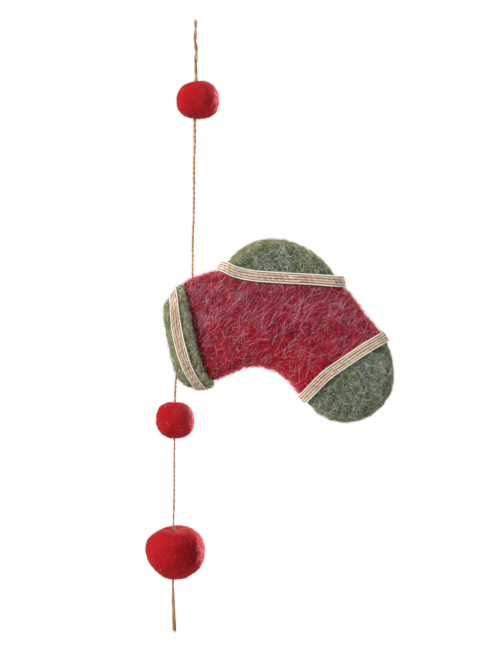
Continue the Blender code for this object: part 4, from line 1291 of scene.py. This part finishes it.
def add_plies(name, plies, finish):
    """All plies of one kind as one mesh, each a tube closed on itself."""
    rings, tones = zip(*plies)
    quads = grid_quads(RIBBON_RINGS, CORD_SIDES, joined=True)
    quads = np.concatenate([quads + k * RIBBON_RINGS * CORD_SIDES for k in range(len(rings))])
    return add_piece(name, np.concatenate(rings), quads, finish,
                     np.repeat(np.concatenate(tones), CORD_SIDES))


# %% Backing and weft
BACK_HALF, BACK_THICK = 2.7, 0.32
LINING_SINK, LINING_PALE = 0.3, 0.9              # the lining's depth in the felt, and how much paler it is
WEFT_STEP, WEFT_HALF, WEFT_HEIGHT = 1.35, 2.5, 0.55
WEFT_POINTS = 6               # on each pass across the ribbon
WEFT_RADIUS, WEFT_SIDES, WEFT_TONE = 0.15, 4, 0.55
felt_grids = (body_grid, heel_grid, toe_grid, cuff_grid)
felt_points = np.concatenate([grid[::2].reshape(-1, 3) for grid in felt_grids])
print(len(felt_points), "places on the felt for the lining to rest on")


def on_felt(points):
    """The nearest place on the felt to each point, and a little further in, so that the lining meets it."""
    apart = (points ** 2).sum(axis=1)[:, None] - 2 * points @ felt_points.T
    near = felt_points[(apart + (felt_points ** 2).sum(axis=1)[None]).argmin(axis=1)]
    return near + LINING_SINK * unit(near - points)


def add_backing(name, course, seed):
    """A flat band under the cords; its two lower corners, the lining, reach down into the felt."""
    centre, across, outward = course
    section = np.array((
        (-BACK_HALF, 0.0), (BACK_HALF, 0.0), (BACK_HALF, BACK_THICK), (-BACK_HALF, BACK_THICK),
    ))
    band = centre[:, None] + section[None, :, :1] * across[:, None] + section[None, :, 1:] * outward[:, None]
    band[:, :2] = on_felt(band[:, :2].reshape(-1, 3)).reshape(-1, 2, 3)
    # dark upper face: painted shade in the gaps between the cords; the lining below is paler
    tone = (0.4 + 0.2 * waves(centre, 3.0, seed + 9))[:, None] + LINING_PALE * np.array((1, 1, 0, 0))
    quads = grid_quads(RIBBON_RINGS, len(section), joined=True)
    return add_piece(name, band, quads, gap_shade_backing, tone.ravel())


def add_weft(name, course, length):
    """One thread to and fro: centre + half * swing across, where swing goes evenly from -1 to 1 and back."""
    passes = 2 * round(length / (2 * WEFT_STEP))
    count = passes * WEFT_POINTS
    share = np.arange(count) / count
    swing = np.abs((share * passes) % 2 - 1) * 2 - 1
    ring_share = np.arange(RIBBON_RINGS + 1) / RIBBON_RINGS
    centre, across, outward = (
        np.stack([np.interp(share, ring_share, np.append(column, column[0])) for column in field.T], axis=1)
        for field in course)
    thread = centre + WEFT_HALF * swing[:, None] * across + WEFT_HEIGHT * outward
    rings = tube(thread, WEFT_RADIUS, WEFT_SIDES, joined=True)
    quads = grid_quads(count, WEFT_SIDES, joined=True)
    return add_piece(name, rings, quads, ribbon_jute, WEFT_TONE)


# %% Tie the three ribbons
RIBBON_STRAYS = 150           # loose fibres on each ribbon
FRAYED_SHARE, FRAYED_EDGE = 0.6, 2.8             # this share leaves at the edges, and the others between
RIBBON_SPREAD, RIBBON_TOP = 2.6, 0.8
RIBBON_REACH, RIBBON_STRAY_RADIUS = (1.0, 3.2), 0.045


def ribbon_strays(name, course, seed):
    """Loose fibres, most of which leave at the two edges."""
    chance = np.random.default_rng(seed)
    root = chance.integers(0, RIBBON_RINGS, RIBBON_STRAYS)
    centre, across, outward = (field[root] for field in course)
    frayed = chance.uniform(0, 1, RIBBON_STRAYS) < FRAYED_SHARE
    edge = np.sign(chance.normal(size=RIBBON_STRAYS)) * FRAYED_EDGE
    place = np.where(frayed, edge, chance.uniform(-RIBBON_SPREAD, RIBBON_SPREAD, RIBBON_STRAYS))[:, None]
    start = centre + place * across + RIBBON_TOP * outward
    way = (chance.normal(0, 0.8, RIBBON_STRAYS)[:, None] * across + 0.35 * outward
           + chance.normal(0, 1.0, RIBBON_STRAYS)[:, None] * np.cross(across, outward))
    lines = stray_lines(start, unit(way), chance.uniform(*RIBBON_REACH, RIBBON_STRAYS), 0.9, chance)
    return add_strays(name, lines, chance.uniform(0.3, 1.0, RIBBON_STRAYS), RIBBON_STRAY_RADIUS, ribbon_jute,
                      "jute_ribbon")


def add_ribbon(name, line, width, seed, worn=0.0):
    """One ribbon: its cords, edges, backing, weft and loose fibres together stand for its solid."""
    course = ribbon_course(line, width)
    length = np.linalg.norm(np.roll(course[0], -1, axis=0) - course[0], axis=1).sum()
    made = (
        add_plies(f"{name}_jute_cords", tan_cords(course, length, seed, worn), ribbon_jute),
        add_plies(f"{name}_cream_edges", cream_edges(course, length, seed), cream_cotton),
        add_backing(f"{name}_backing", course, seed),
        add_weft(f"{name}_weft", course, length),
        ribbon_strays(f"{name}_strays", course, seed),
    )
    for piece in made:
        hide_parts(name)
    print(name, "loop", round(length, 1), "mm")


add_ribbon("heel_ribbon", *felt_wrap(HEEL_SEAM, HEEL_BACK, HEEL_SLANT), 200)
add_ribbon("toe_ribbon", *felt_wrap(TOE_SEAM, TOE_BACK, TOE_SLANT), 220)
add_ribbon("cuff_ribbon", *cuff_wrap(), 240, worn=0.08)

# %% [markdown]
# ## Studio
# The garland hangs in a white studio: the white sky around it is the even fill light and the background, and
# a pale floor lies well below. A soft lamp at the upper left in front models the felt, and a smaller and
# weaker one behind on the right brightens its far edges.

# %% Sky and lamps
LAMPS = (                     # name, place in metres, width, power
    ("key", (-1.22, -0.66, 0.60), 0.45, 48.0),
    ("rim", (0.62, 0.62, 0.25), 0.3, 18.0),
)


def add_lamp(name, place, width, power):
    """A round white lamp that looks at the garland's middle."""
    data = bpy.data.lights.new(name, "AREA")
    data.shape, data.size, data.energy = "DISK", width, power
    lamp = bpy.data.objects.new(name, data)
    lamp.location = place
    lamp.rotation_euler = (Vector(middle) - Vector(place)).to_track_quat("-Z", "Y").to_euler()
    bpy.context.scene.collection.objects.link(lamp)


sky = bpy.data.worlds.new("studio")
sky.use_nodes = True
sky.node_tree.nodes["Background"].inputs["Color"].default_value = (1.0, 1.0, 1.0, 1.0)
sky.node_tree.nodes["Background"].inputs["Strength"].default_value = 1.0
bpy.context.scene.world = sky
bpy.context.scene.view_settings.view_transform = "Standard"
for row in LAMPS:
    add_lamp(*row)
print("lamps", *(name for name, *_ in LAMPS))

# %% Floor
FLOOR_RADIUS, FLOOR_DROP, FLOOR_SIDES = 0.9, 0.3, 64                    # in metres, below the garland's end
floor_mesh = bpy.data.meshes.new("floor")
angles = np.linspace(0, 2 * np.pi, FLOOR_SIDES, endpoint=False)
floor_height = 0 * angles + low[2] - FLOOR_DROP
floor_edge = np.stack([FLOOR_RADIUS * np.cos(angles), FLOOR_RADIUS * np.sin(angles), floor_height], axis=1)
floor_mesh.from_pydata(floor_edge.tolist(), [], [tuple(range(FLOOR_SIDES))])
floor = bpy.data.objects.new("floor", floor_mesh)
paper, _, paper_shader = new_finish("white_studio_paper")              # matt, so it shows no lamp
paper_shader.inputs["Base Color"].default_value = linear("#c6c6c4")
paper_shader.inputs["Roughness"].default_value = 0.9
floor_mesh.materials.append(paper)
bpy.context.scene.collection.objects.link(floor)
print("floor", FLOOR_DROP, "m below")
